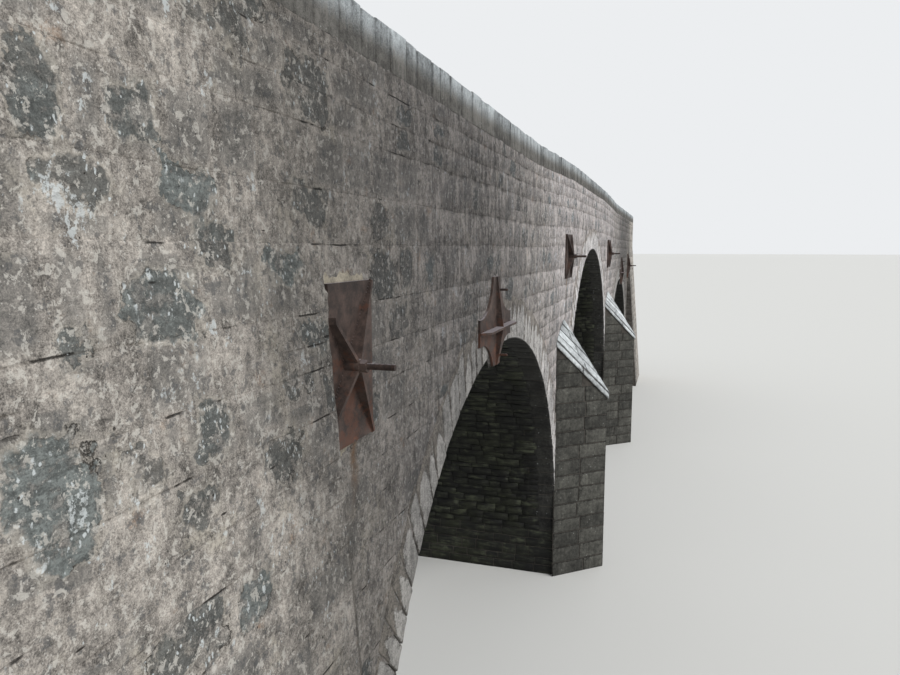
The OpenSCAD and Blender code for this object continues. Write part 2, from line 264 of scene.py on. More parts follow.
class Web:
    """A node tree that is written as expressions."""

    def __init__(self, tree):
        self.tree = tree
        self.material = None

    @staticmethod
    def find(sockets, key):
        if isinstance(key, int):
            return sockets[key]
        return next(s for s in sockets if s.name == key and s.enabled)

    def add(self, kind, settings=None, inputs=(), out=None):
        """Adds a node: its settings first, then the values or links of its sockets, by place or by name."""
        node = self.tree.nodes.new(kind)
        for key, value in (settings or {}).items():
            if key == "stops":
                self.set_stops(node.color_ramp, value)
            else:
                setattr(node, key, value)
        pairs = inputs.items() if isinstance(inputs, dict) else enumerate(inputs)
        for key, value in pairs:
            socket = self.find(node.inputs, key)
            if isinstance(value, Link):
                self.tree.links.new(value.socket, socket)
            elif value is not None:
                socket.default_value = value
        if not node.outputs:
            return None
        if out is None:
            return Link(self, next(s for s in node.outputs if s.enabled))
        return Link(self, self.find(node.outputs, out))

    @staticmethod
    def set_stops(ramp, stops):
        while len(ramp.elements) < len(stops):
            ramp.elements.new(1.0)
        for element, (place, colour) in zip(ramp.elements, stops):
            element.position = place
            element.color = colour

    def other(self, link, name):
        """Another output of the node that a link comes from."""
        return Link(self, self.find(link.socket.node.outputs, name))

    def random(self, order, low, high, seed, kind="FLOAT"):
        limits = {"Min": low, "Max": high, "ID": order, "Seed": seed}
        return self.add("FunctionNodeRandomValue", {"data_type": kind}, limits)

    def repeat(self, points, thing, **sockets):
        """A copy of an object's shape at every point, as plain geometry."""
        shape = self.add("GeometryNodeObjectInfo", inputs={"Object": thing}, out="Geometry")
        sockets = {"Points": points, "Instance": shape, **sockets}
        placed = self.add("GeometryNodeInstanceOnPoints", inputs=sockets)
        return self.add("GeometryNodeRealizeInstances", inputs={"Geometry": placed})

    def move(self, geometry, place):
        return self.add("GeometryNodeSetPosition", inputs={"Geometry": geometry, "Position": place})

    def split(self, vector):
        first = self.add("ShaderNodeSeparateXYZ", inputs=[vector])
        return first, self.other(first, "Y"), self.other(first, "Z")

    def join(self, x=0.0, y=0.0, z=0.0):
        return self.add("ShaderNodeCombineXYZ", inputs=[x, y, z])

    def vector(self, operation, *inputs):
        return self.add("ShaderNodeVectorMath", {"operation": operation}, inputs)

    def plus(self, first, second):
        return self.vector("ADD", first, second)

    def stretch(self, vector, *factors):
        return self.vector("MULTIPLY", vector, factors)

    def scale(self, vector, factor):
        return self.add("ShaderNodeVectorMath", {"operation": "SCALE"}, {0: vector, 3: factor})

    def noise(self, place, scale, detail=3.0, rough=0.55, out="Fac", twist=0.0):
        sockets = {"Vector": place, "Scale": scale, "Detail": detail, "Roughness": rough, "Distortion": twist}
        return self.add("ShaderNodeTexNoise", inputs=sockets, out=out)

    def wobble(self, place, scale, size, detail=2.0):
        """A random offset, the same for the same place, of about that size."""
        middle = self.vector("SUBTRACT", self.noise(place, scale, detail, out="Color"), (0.5, 0.5, 0.5))
        return self.scale(middle, size)

    def ramp(self, value, *stops):
        return self.add("ShaderNodeValToRGB", {"stops": stops}, [value])

    def blend(self, share, first, second, kind="MIX"):
        sockets = {0: share, 6: first, 7: second}
        return self.add("ShaderNodeMix", {"data_type": "RGBA", "blend_type": kind}, sockets)

    def coat(self, colour, share, *screen):
        """Lays a colour, given as it looks on a screen, over another."""
        return self.blend(share, colour, tint(*screen))

    def shaded(self, colour, shade, share=1.0):
        return self.blend(share, colour, shade, "MULTIPLY")

    def named(self, name, kind="FLOAT"):
        return self.add("GeometryNodeInputNamedAttribute", {"data_type": kind}, [name])

    def named_all(self, *names):
        return [self.named(name) for name in names]

    def keep(self, geometry, name, value):
        sockets = [geometry, None, name, value]
        return self.add("GeometryNodeStoreNamedAttribute", {"data_type": "FLOAT"}, sockets)


# Geometry Nodes: stones


def geometry_web(name, **kinds):
    """A tree with one geometry output and named inputs, given as their names for each kind of socket."""
    tree = bpy.data.node_groups.new(name, "GeometryNodeTree")
    inputs = [(label, kind) for kind, labels in kinds.items() for label in labels]
    for label, kind in inputs:
        tree.interface.new_socket(name=label, in_out="INPUT", socket_type="NodeSocket" + kind)
    tree.interface.new_socket(name="Geometry", in_out="OUTPUT", socket_type="NodeSocketGeometry")
    web = Web(tree)
    source = tree.nodes.new("NodeGroupInput")
    given = {label: Link(web, source.outputs[label]) for label, _ in inputs}
    return web, given


def close_web(web, geometry, finish):
    """Ends a tree: the finish is set on plain geometry, which leaves the tree."""
    coated = web.add("GeometryNodeSetMaterial", inputs={"Geometry": geometry, "Material": finish})
    web.add("NodeGroupOutput", inputs=[coated])
    return web.tree


def edge_spread(share, count, size, arris):
    """Moves a grid's outer lines of vertices out to a rounded edge; also gives how far in each line is."""
    step = 1.0 / (count - 1.0)
    first = 0.5 - step
    second = (0.5 - 2.0 * step).most(0.0001)
    reach = abs(share)
    inner = reach.between(0.0, second, 0.0, size * 0.5 - arris)
    rim = reach.between(second, first, 0.0, arris * 0.7)
    lip = reach.between(first, 0.5, 0.0, arris * 0.3)
    return share.math("SIGN") * (inner + rim + lip), reach.between(second, 0.5, 1.0, 0.0)


def facing_tree():
    """Facing stones: one closed stone at every point, with its own size, rounded edges and uneven outline."""
    web, given = geometry_web(
        "facing_stones", Geometry=["Places"], Object=["Stone"], Material=["Finish"], Float=[
            "Columns", "Rows", "Edge radius", "Bedding", "Waviness", "Own waviness", "Unevenness",
            "Own unevenness", "Overlap"])
    plain = web.repeat(given["Places"], given["Stone"])
    wide, high, proud, tone = web.named_all("wide", "high", "proud", "tone")
    part = web.named("part", "FLOAT_VECTOR")
    share_x, share_y, _ = web.split(part)
    centre = web.vector("SUBTRACT", web.add("GeometryNodeInputPosition"), part)
    across, in_x = edge_spread(share_x, given["Columns"], wide, given["Edge radius"])
    up, in_y = edge_spread(share_y, given["Rows"], high, given["Edge radius"])
    flat = web.plus(centre, web.join(across, up))
    own = web.plus(flat, web.join(z=tone * 90.0))
    moves = web.wobble(flat, 0.9, given["Waviness"] * 2.0)
    moves = web.plus(moves, web.wobble(flat, 6.0, given["Waviness"]))
    moves = web.plus(moves, web.wobble(own, 9.0, given["Own waviness"]))
    move_x, move_y, _ = web.split(moves)
    inside = in_x.least(in_y)
    body = 1.0 - (1.0 - inside) ** 2.0
    swell = (web.noise(flat, 5.5, 4.0, 0.6) - 0.5) * given["Unevenness"]
    swell = swell + (web.noise(own, 5.0, 3.0) - 0.5) * given["Own unevenness"] * inside
    out = (proud + given["Bedding"]) * body - given["Bedding"] + swell
    half_x = wide * 0.5 - abs(across)
    half_y = high * 0.5 - abs(up)
    kept = web.keep(plain, "edge", half_x.least(half_y))
    kept = web.keep(kept, "joint", (JOINT_REACH - half_y + given["Overlap"] * 0.5).most(0.0))
    kept = web.keep(kept, "across", across)
    kept = web.keep(kept, "up", up)
    moved = web.plus(flat, web.join(move_x, move_y, out))
    return close_web(web, web.move(kept, moved), given["Finish"])


def rounded(web, raw, half, arris):
    """A box's grid point pulled onto the box with rounded edges."""
    core = web.vector("SUBTRACT", half, web.join(arris, arris, arris))
    low = web.scale(core, -1.0)
    held = web.vector("MAXIMUM", web.vector("MINIMUM", raw, core), low)
    away = web.vector("NORMALIZE", web.vector("SUBTRACT", raw, held))
    return web.plus(held, web.scale(away, arris))


def block_axis(share, half, arris):
    """Spreads a block's five lines of vertices: the middle, the edge's start and the edge."""
    reach = abs(share)
    inner = reach.between(0.0, 0.25, 0.0, half - arris)
    return share.math("SIGN") * (inner + reach.between(0.25, 0.5, 0.0, arris))


def row_tree(name, place, extra):
    """Blocks of random widths side by side along a run. place says where a block's point goes."""
    web, given = geometry_web(
        name, Object=["Block"], Int=["Stones", "Seed"], Material=["Finish"],
        Float=["Run", "Narrowest", "Widest", "Joint", "Edge radius", "Roughness", *extra])
    line = web.add("GeometryNodeMeshLine", inputs={"Count": given["Stones"]})
    order = web.add("GeometryNodeInputIndex")
    width = web.random(order, given["Narrowest"], given["Widest"], given["Seed"])
    before = web.add("GeometryNodeAccumulateField", inputs=[width], out="Trailing")
    total = web.other(before, "Total")
    share = given["Run"] / total
    kept = web.keep(line, "middle", (before + width * 0.5) * share)
    kept = web.keep(kept, "half", width * 0.5 * share - given["Joint"] * 0.5)
    kept = web.keep(kept, "tone", web.random(order, 0.0, 1.0, given["Seed"] + 7.0))
    kept = web.keep(kept, "luck", web.random(order, 0.0, 1.0, given["Seed"] + 13.0))
    plain = web.repeat(kept, given["Block"])
    part = web.split(web.named("part", "FLOAT_VECTOR"))
    geometry, spot = place(web, given, plain, part)
    apart = web.plus(spot, web.join(y=web.named("tone") * 60.0))
    moved = web.plus(spot, web.wobble(apart, 7.0, given["Roughness"], 3.0))
    return close_web(web, web.move(geometry, moved), given["Finish"])


def set_block(web, given, part, length, height, depth):
    """A rounded block's point about the block's middle, for half sizes along, up and out."""
    halves = (length, height, depth)
    raw = web.join(*(block_axis(p, h, given["Edge radius"]) for p, h in zip(part, halves)))
    return web.split(rounded(web, raw, web.join(*halves), given["Edge radius"]))


def place_on_arc(web, given, plain, part):
    """Bends the run to a half circle over the springing, about the arch's middle."""
    middle, half, tone, luck = web.named_all("middle", "half", "tone", "luck")
    deep = given["Depth"] + (luck - 0.5) * given["Depth play"]
    proud = given["Stands out"] + (tone - 0.5) * 0.006
    thick = given["Wall thickness"] + proud
    along, up, out = set_block(web, given, part, half, deep * 0.5, thick * 0.5)
    radius = given["Radius"] - 0.008 + deep * 0.5 + up
    turn = (middle + along) / given["Mean radius"]
    turn = turn + (turn * 2.0).math("SINE") * given["Lean"] * (radius / given["Mean radius"] - 1.0)
    y = given["Wall face"] + proud - thick * 0.5 + out
    cosine = turn.math("COSINE")
    sine = turn.math("SINE")
    edge = half - abs(along)
    kept = web.keep(plain, "edge", edge)
    kept = web.keep(kept, "low", 0.5 - up / deep)
    return kept, web.join(0.0 - cosine * radius, 0.0 - y, sine * radius)


def place_on_parapet(web, given, plain, part):
    """Sets the run on a parapet, over the rise of the road."""
    middle, half, tone, luck = web.named_all("middle", "half", "tone", "luck")
    tall = given["Height"] + (luck - 0.5) * 0.018
    along, up, out = set_block(web, given, part, half, tall * 0.5, given["Depth"] * 0.5)
    x = middle + along - given["Run"] * 0.5
    climb = ((given["Ramp foot"] - abs(x)) / given["Ramp length"]).least(1.0).most(0.0)
    z = given["Base"] + tall * 0.5 + up + climb * given["Rise"] - 0.012
    edge = half - abs(along)
    kept = web.keep(plain, "edge", edge)
    kept = web.keep(kept, "low", 0.5 - up / tall)
    shift = (tone - 0.5) * 0.008
    return kept, web.join(x, 0.0 - out - shift - given["Middle line"], z)


def pebble_tree():
    """Loose stones scattered over a surface."""
    web, given = geometry_web(
        "loose_stones", Geometry=["Ground"], Object=["Pebble"], Float=["Density", "Smallest", "Largest"],
        Int=["Seed"], Material=["Finish"])
    sockets = {"Mesh": given["Ground"], "Density": given["Density"], "Seed": given["Seed"]}
    points = web.add("GeometryNodeDistributePointsOnFaces", inputs=sockets, out="Points")
    return close_web(web, strewn(web, given, points, "Pebble"), given["Finish"])


def strewn(web, given, points, kind):
    """One shape at every point, turned and sized at random."""
    order = web.add("GeometryNodeInputIndex")
    turn = web.random(order, (0.0, 0.0, 0.0), (6.28, 6.28, 6.28), given["Seed"], "FLOAT_VECTOR")
    size = web.random(order, given["Smallest"], given["Largest"], given["Seed"] + 1.0)
    return web.repeat(points, given[kind], Rotation=turn, Scale=size)


def weld_tree():
    """Beads of weld side by side along lines."""
    web, given = geometry_web(
        "weld_beads", Geometry=["Lines"], Object=["Bead"], Float=["Spacing", "Smallest", "Largest"],
        Int=["Seed"], Material=["Finish"])
    line = web.add("GeometryNodeMeshToCurve", inputs=[given["Lines"]])
    sockets = {"Curve": line, "Length": given["Spacing"]}
    points = web.add("GeometryNodeCurveToPoints", {"mode": "LENGTH"}, sockets, out="Points")
    return close_web(web, strewn(web, given, points, "Bead"), given["Finish"])


def thread_tree():
    """The ridge of a screw thread, wound up Z from a start height."""
    web, given = geometry_web(
        "rod_thread", Geometry=["Start"], Float=["Radius", "Length", "Pitch"], Material=["Finish"])
    radius, length, pitch = (given[name] for name in ("Radius", "Length", "Pitch"))
    sockets = {
        "Resolution": 14, "Rotations": length / pitch, "Start Radius": radius, "End Radius": radius,
        "Height": length,
    }
    coil = web.add("GeometryNodeCurveSpiral", inputs=sockets)
    ridge = web.add("GeometryNodeCurvePrimitiveCircle", inputs={"Resolution": 3, "Radius": pitch * 0.42})
    sockets = {"Curve": coil, "Profile Curve": ridge, "Fill Caps": True}
    solid = web.add("GeometryNodeCurveToMesh", inputs=sockets)
    whole = web.add("GeometryNodeJoinGeometry", inputs=[solid])
    web.tree.links.new(given["Start"].socket, whole.socket.node.inputs[0])
    plain = web.add("GeometryNodeRealizeInstances", inputs={"Geometry": whole})
    return close_web(web, plain, given["Finish"])


# Meshes


def new_mesh(name, points, faces):
    mesh = bpy.data.meshes.new(name)
    mesh.from_pydata([tuple(p) for p in points], [], faces)
    mesh.update()
    return mesh


def new_object(name, mesh):
    thing = bpy.data.objects.new(name, mesh)
    SCENE.collection.objects.link(thing)
    return thing


def keep_numbers(mesh, name, values):
    attribute = mesh.attributes.new(name, "FLOAT", "POINT")
    attribute.data.foreach_set("value", np.asarray(values, np.float32))


def places_of(mesh):
    places = np.zeros(len(mesh.vertices) * 3, np.float32)
    mesh.vertices.foreach_get("co", places)
    return places.reshape(-1, 3).astype(float)


def set_places(mesh, places):
    mesh.vertices.foreach_set("co", np.asarray(places, np.float32).ravel())
    mesh.update()


def numbers_of(mesh, name):
    values = np.zeros(len(mesh.vertices), np.float32)
    mesh.attributes[name].data.foreach_get("value", values)
    return values.astype(float)


def grid_faces(columns, rows):
    faces = []
    for j in range(rows - 1):
        for i in range(columns - 1):
            a = j * columns + i
            faces.append((a, a + 1, a + columns + 1, a + columns))
    return faces


def grid_rim(columns, rows):
    """The points round a grid, in order."""
    rim = list(range(columns))
    rim += [j * columns + columns - 1 for j in range(1, rows)]
    rim += [(rows - 1) * columns + i for i in range(columns - 2, -1, -1)]
    rim += [j * columns for j in range(rows - 2, 0, -1)]
    return rim


def grid_points(x, y, z):
    return np.stack([x.ravel(), y.ravel(), z.ravel()], 1)


def base_shape(name, points, faces):
    """A shape to repeat. Each of its points keeps its own place, as a share of the shape."""
    mesh = new_mesh(name, points, faces)
    mesh.shade_smooth()
    attribute = mesh.attributes.new("part", "FLOAT_VECTOR", "POINT")
    attribute.data.foreach_set("vector", places_of(mesh).astype(np.float32).ravel())
    return new_object(name, mesh)


def stone_base(columns, rows):
    """A stone's face as a flat grid, closed by one face behind it."""
    across = [i / (columns - 1) - 0.5 for i in range(columns)]
    points = [(x, j / (rows - 1) - 0.5, 0.0) for j in range(rows) for x in across]
    faces = grid_faces(columns, rows) + [tuple(reversed(grid_rim(columns, rows)))]
    return base_shape("stone_base", points, faces)


def block_base(counts=(5, 5, 5)):
    """A block as a closed box with lines of vertices along its faces."""
    stops = [np.linspace(-0.5, 0.5, n) for n in counts]
    index = {}
    points = []
    faces = []

    def corner(key):
        if key not in index:
            index[key] = len(points)
            points.append(tuple(stops[axis][key[axis]] for axis in range(3)))
        return index[key]

    for axis in range(3):
        one, two = (axis + 1) % 3, (axis + 2) % 3
        for end in (0, counts[axis] - 1):
            for i in range(counts[one] - 1):
                for j in range(counts[two] - 1):
                    loop = []
                    for di, dj in ((0, 0), (1, 0), (1, 1), (0, 1)):
                        key = [0, 0, 0]
                        key[axis], key[one], key[two] = end, i + di, j + dj
                        loop.append(corner(tuple(key)))
                    faces.append(tuple(loop if end else reversed(loop)))
    return base_shape("block_base", points, faces)


def grow(name, mesh, tree, values):
    """Runs a tree on a mesh and keeps the result as a plain mesh."""
    holder = new_object(name, mesh)
    nodes = holder.modifiers.new("grow", "NODES")
    nodes.node_group = tree
    for item in tree.interface.items_tree:
        if item.in_out == "INPUT" and item.name in values:
            nodes[item.identifier] = values[item.name]
    ready = bpy.context.evaluated_depsgraph_get()
    grown = holder.evaluated_get(ready)
    made = bpy.data.meshes.new_from_object(grown, preserve_all_data_layers=True, depsgraph=ready)
    if not made.polygons:
        raise RuntimeError(f"{name} came out empty")
    made.name = name
    holder.modifiers.clear()
    holder.data = made
    return holder


def dress(piece, slot, *stands_for):
    """Hands a finished piece to the frame."""
    for name in ("part", "wide", "high", "foot", "proud", "middle", "half", "luck", "across", "up", "number"):
        found = piece.data.attributes.get(name)
        if found:
            piece.data.attributes.remove(found)
    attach(piece, "root")
    if stands_for:
        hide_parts(*stands_for)
    return piece


def drop(*things):
    for thing in things:
        bpy.data.objects.remove(thing)


def join_meshes(name, first, *others):
    """One object out of several that have the same finish."""
    with bpy.context.temp_override(active_object=first, selected_editable_objects=[first, *others]):
        bpy.ops.object.join()
    first.name = name
    first.data.name = name
    return first


# Layout of the facing


def shares(dice, total, low, high):
    """Random parts between two sizes that add up to a length."""
    count = max(1, round(2 * total / (low + high)))
    parts = dice.uniform(low, high, count)
    return parts * total / parts.sum()


def lay_courses(dice, area, heights, lengths, thin=0.16):
    """Stones in courses over an area (left, right, low, high), as rows of the same four numbers."""
    left, right, low, high = area
    stones = []
    tall = heights if isinstance(heights, np.ndarray) else shares(dice, high - low, *heights)
    foot = low
    for height in tall:
        start = left
        for length in shares(dice, right - left, *lengths):
            if height > 0.22 and dice.random() < thin:
                cut = foot + height * dice.uniform(0.4, 0.6)
                stones.append((start, start + length, foot, cut))
                stones.append((start, start + length, cut, foot + height))
            else:
                stones.append((start, start + length, foot, foot + height))
            start += length
        foot += height
    return np.array(stones)


def fill_course(dice, left, right, low, high, lengths, thin):
    """One stretch of a course. Some long stones are laid as two thin ones."""
    stones = []
    if right - left < 0.05:
        return stones
    start = left
    for length in shares(dice, right - left, *lengths):
        cut = low + (high - low) * dice.uniform(0.4, 0.6)
        split = high - low > 0.22 and dice.random() < thin
        for foot, head in ((low, cut), (cut, high)) if split else ((low, high),):
            stones.append((start, start + length, foot, head))
        start += length
    return stones


def course_lines():
    """Heights of the bed joints of the long faces, from the floor up."""
    sizes = SCENE.bridge_stones
    tops = np.array(NEAR_COURSES)[::-1]
    below = shares(new_dice(7), tops[0], sizes.course_low, sizes.course_high)
    return np.concatenate([[0.0], np.cumsum(below), tops[1:]])


def lay_long(dice, left, right, low, high, set_in=()):
    """The courses of the long faces between two heights, round stones that have their own places."""
    sizes = SCENE.bridge_stones
    lines = course_lines()
    lengths = (sizes.stone_short, sizes.stone_long)
    clear = 0.03
    stones = []
    for foot, head in zip(lines[:-1], lines[1:]):
        if foot < low - 0.01 or head > high + 0.01:
            continue
        start = left
        for x, z, wide, _ in sorted(set_in):
            if not (foot <= z < head and x - wide > start and x + wide < right):
                continue
            stones += fill_course(dice, start, x - wide - clear, foot, head, lengths, 0.0)
            stones.append((max(start, x - wide - clear), x + wide + clear, foot, head))
            start = x + wide + clear
        stones += fill_course(dice, start, right, foot, head, lengths, 0.1)
    return np.array(stones)


def cut_round(stones, x, spring, opening, cover=RING_COVER):
    """Stones beside an opening are cut short where they would reach into it; those inside it are left out."""
    kept = []
    for left, right, low, high in stones:
        radius = opening + cover if high > spring + 0.05 else opening
        near = min(max(x, left), right)
        foot = max(0.0, low - spring)
        if math.hypot(near - x, foot) >= radius:
            kept.append((left, right, low, high))
            continue
        reach = math.sqrt(max(0.0, radius**2 - foot**2))
        side = (left, min(right, x - reach)) if (left + right) / 2 < x else (max(left, x + reach), right)
        base = spring + math.sqrt(max(0.0, radius**2 - (near - x) ** 2)) if abs(near - x) < radius else low
        beside = max(0.0, side[1] - side[0]) * (high - low)
        above = (right - left) * max(0.0, high - base)
        if max(beside, above) < 0.012:
            continue
        kept.append((*side, low, high) if beside >= above else (left, right, base, high))
    return np.array(kept)


def without(stones, test):
    """Leaves out the stones whose middle passes a test."""
    middle = (stones[:, 0] + stones[:, 1]) / 2, (stones[:, 2] + stones[:, 3]) / 2
    return stones[~test(*middle)]


def set_stones(
        name, dice, stones, finish="wall", grid=(7, 5), proud=(0.008, 0.01), joint=-0.016, bare=None,
        **sizes):
    """Facing stones laid flat: u along the face, v up it, w out of it."""
    size = stones[:, 1::2] - stones[:, ::2]
    large = (size[:, 0] > 0.07) & (size[:, 1] > 0.06)
    stones, size = stones[large], size[large]
    count = len(stones)
    middle = (stones[:, ::2] + stones[:, 1::2]) / 2
    mesh = new_mesh(name, np.column_stack([middle, np.zeros(count)]), [])
    keep_numbers(mesh, "wide", size[:, 0] - joint)
    keep_numbers(mesh, "high", size[:, 1] - joint)
    keep_numbers(mesh, "foot", stones[:, 2])
    keep_numbers(mesh, "proud", dice.uniform(*proud, count))
    keep_numbers(mesh, "tone", dice.random(count))
    keep_numbers(mesh, "number", np.arange(count))
    base = stone_base(*grid)
    values = {
        "Stone": base, "Columns": float(grid[0]), "Rows": float(grid[1]), "Edge radius": 0.016,
        "Bedding": 0.004, "Waviness": 0.02, "Own waviness": 0.0, "Unevenness": 0.018,
        "Own unevenness": 0.006, "Overlap": max(0.0, -joint), "Finish": FINISHES[finish],
    }
    piece = grow(name, mesh, TREES["facing"], {**values, **sizes})
    drop(base)
    bare = SCENE.bridge_stones.bare_share if bare is None else bare
    if bare:
        expose(piece, dice, size, bare)
    return piece


def expose(piece, dice, sizes, share):
    """Marks where stones show through the mortar: BURIED or more inside an uneven outline, less outside."""
    mesh = piece.data
    number = numbers_of(mesh, "number").round().astype(int)
    across = numbers_of(mesh, "across")[:, None]
    up = numbers_of(mesh, "up")[:, None]
    count = len(sizes)
    turn = np.linspace(0, 2 * math.pi, 7, endpoint=False) + dice.uniform(-0.3, 0.3, (count, 7))
    cosine, sine = np.cos(turn), np.sin(turn)
    reach = (np.abs(cosine) * sizes[:, :1] + np.abs(sine) * sizes[:, 1:]) / 2
    reach *= dice.uniform(0.6, 0.92, (count, 7))
    reach[dice.random(count) >= share] = -BURIED
    inside = (reach[number] - across * cosine[number] - up * sine[number]).min(1)
    keep_numbers(mesh, "bare", np.maximum(inside + BURIED, 0.0))


def expose_at(piece, dice, places):
    """The same for stones that have their own places on the face."""
    mesh = piece.data
    flat = places_of(mesh)
    inside = numbers_of(mesh, "bare")
    tone = numbers_of(mesh, "tone")
    for x, z, wide, high in places:
        turn = np.linspace(0, 2 * math.pi, 6, endpoint=False) + dice.uniform(-0.25, 0.25, 6) + 0.26
        cosine, sine = np.cos(turn), np.sin(turn)
        reach = (np.abs(cosine) ** 1.1 * wide + np.abs(sine) ** 1.1 * high) * dice.uniform(0.84, 1.02, 6)
        here = (reach - (flat[:, :1] - x) * cosine - (flat[:, 1:2] - z) * sine).min(1)
        tone[here > -0.04] = dice.random()
        inside = np.maximum(inside, here + BURIED)
    mesh.attributes["bare"].data.foreach_set("value", inside.astype(np.float32))
    mesh.attributes["tone"].data.foreach_set("value", tone.astype(np.float32))


def bend(piece, rule):
    """Carries a flat piece onto its surface, and no lower than the floor."""
    flat = places_of(piece.data)
    places = np.stack(rule(flat[:, 0], flat[:, 1], flat[:, 2]), 1)
    places[:, 2] = np.maximum(places[:, 2], 0.0)
    set_places(piece.data, places)
    return piece


def shift(piece, *offset):
    set_places(piece.data, places_of(piece.data) + np.array(offset))
    return piece


# Surfaces, each as a rule from u, v, w to x, y, z


def rise_at(x):
    return RISE * np.clip((RAMP_X - np.abs(x)) / (RAMP_X - LEVEL_X), 0, 1)


def batter_at(z):
    return np.maximum(0.0, BATTER_Z - z) / 12


def over_rise(x, v):
    """Courses near the top of the wall follow the road."""
    return v + rise_at(x) * np.clip((v - 5.9) / (BED_Z - 5.9), 0, 1)


def front_rule(u, v, w):
    return u, -FACE_Y - w, over_rise(u, v)


def wing_rule(u, v, w):
    return u, -FACE_Y - batter_at(v) - w, v


def inside_rule(u, v, w):
    return -u, w - ROAD_Y, over_rise(u, v)


def west_end_rule(u, v, w):
    return -END_X - w, -u * (FACE_Y + batter_at(v)) / FACE_Y, v


def west_parapet_end_rule(u, v, w):
    return -END_X - w, -u, v


def turned(rule):
    """The same rule for the opposite corner of the bridge."""
    def turn(u, v, w):
        x, y, z = rule(u, v, w)
        return -x, -y, z
    return turn


def jamb_rule(x, side):
    """An upright face across the bridge that looks along side, 1 for east and -1 for west."""
    def place(u, v, w):
        return x + side * w, side * u, v
    return place


def soffit_rule(x, spring, radius):
    def place(u, v, w):
        angle = v / radius
        return x + (radius - w) * np.cos(angle), -u, spring + (radius - w) * np.sin(angle)
    return place


def slope_rule(left, right, apex, base=0.0):
    """A triangle's face: u along its foot, v up it, with the stones' ends drawn in to its sides."""
    left, right, apex = (np.array(p, float) for p in (left, right, apex))
    length = np.linalg.norm(right - left)
    along = (right - left) / length
    reach = apex - left
    peak = reach @ along
    up = reach - peak * along
    tall = np.linalg.norm(up)
    up = up / tall
    out = np.cross(along, up)

    def place(u, v, w):
        share = np.clip(v / tall, -0.05, 0.985)
        start = share * peak
        end = length + share * (peak - length)
        spot = start + u / length * (end - start)
        points = left + np.outer(spot, along) + np.outer(v, up) + np.outer(w + base, out)
        return points[:, 0], points[:, 1], points[:, 2]
    return place, length, tall


def leaning_rule(foot, head):
    """An upright face from one plan point to another, both (x, y)."""
    foot, head = np.array(foot, float), np.array(head, float)
    along = (head - foot) / np.linalg.norm(head - foot)

    def place(u, v, w):
        x = foot[0] + u * along[0] + w * along[1]
        y = foot[1] + u * along[1] - w * along[0]
        return x, y, v
    return place, float(np.linalg.norm(head - foot))


def lower_tops(piece, limit):
    """Draws a flat piece's stones down to a sloping top edge."""
    flat = places_of(piece.data)
    low = numbers_of(piece.data, "foot")
    high = low + numbers_of(piece.data, "high")
    share = np.clip((limit(flat[:, 0]) - low) / (high - low), 0.04, 1.0)
    flat[:, 1] = low + (flat[:, 1] - low) * share
    set_places(piece.data, flat)
    return piece


# Finishes


def new_finish(name):
    material = bpy.data.materials.new(name)
    material.use_nodes = True
    material.node_tree.nodes.clear()
    web = Web(material.node_tree)
    web.material = material
    return web, web.add("ShaderNodeTexCoord", out="Object")


def close_finish(web, colour, rough, height, depth, shine=0.3):
    """Ends a finish with its shader and gives its material. height is bump in units of depth metres."""
    bump = web.add("ShaderNodeBump", inputs={"Strength": 1.0, "Distance": depth, "Height": height})
    sockets = {"Base Color": colour, "Roughness": rough, "Normal": bump, "Specular IOR Level": shine}
    shader = web.add("ShaderNodeBsdfPrincipled", inputs={**sockets, "Metallic": 0.0})
    web.add("ShaderNodeOutputMaterial", inputs={"Surface": shader})
    return web.material


def attribute(web, name):
    return web.add("ShaderNodeAttribute", {"attribute_name": name}, out="Fac")


def spots(web, place, scale, size, share, seed=0.0):
    """Round spots in some of a pattern's cells, 1 inside and 0 outside."""
    shifted = web.plus(place, (seed, seed * 0.7, seed * 1.3))
    distance = web.add("ShaderNodeTexVoronoi", inputs={"Vector": shifted, "Scale": scale})
    pick, luck, _ = web.split(web.other(distance, "Color"))
    radius = (luck * 0.7 + 0.3) * size
    return (radius - distance).rises(0.0, size * 0.35) * pick.rises(1.0 - share, 1.001 - share)


def damp_stain_and_painted_shade(web, here):
    """How much a place is darkened, partly by wet stains and partly as painted shade with a bluish tint: 1 in
    the open, lower over the haunches of the side arches.
    """
    x, y, z = web.split(here)
    drift = web.noise(here, 0.8, 3.0).stray(2.2)
    reach = (abs(x) + drift) / END_X
    # Darker over the side arches' haunches and bluish towards the middle: wet stains and painted shade
    # together.
    grey = [
        (0.0, 0.97, 1.08), (0.28, 0.97, 1.08), (0.42, 0.68, 1.05), (0.53, 0.42, 1.05), (0.6, 0.31, 1.05),
        (0.7, 0.3, 1.05), (0.78, 0.37, 1.02), (0.84, 0.48, 1.0), (0.91, 0.91, 1.0),
    ]
    stops = [(place, (value, value, value * blue, 1.0)) for place, value, blue in grey]
    return web.ramp(reach, *stops), x, y, z


def streaks(web, here, width=9.0, length=0.55, seed=0.0):
    """Upright runs on a wall."""
    moved = web.plus(here, (seed, seed, seed))
    return web.noise(web.stretch(moved, width, width, length), 1.0, 4.0, 0.6)


def bedding(web, here):
    """The thin uneven layers of weathered stone."""
    return web.noise(web.stretch(here, 9.0, 3.5, 17.0), 1.0, 4.0, 0.6, twist=0.5)


def on_faces(y):
    """1 on the long faces and 0 inside the wall."""
    return abs(y).between(WALL_SIDE, WALL_SIDE + 0.01)


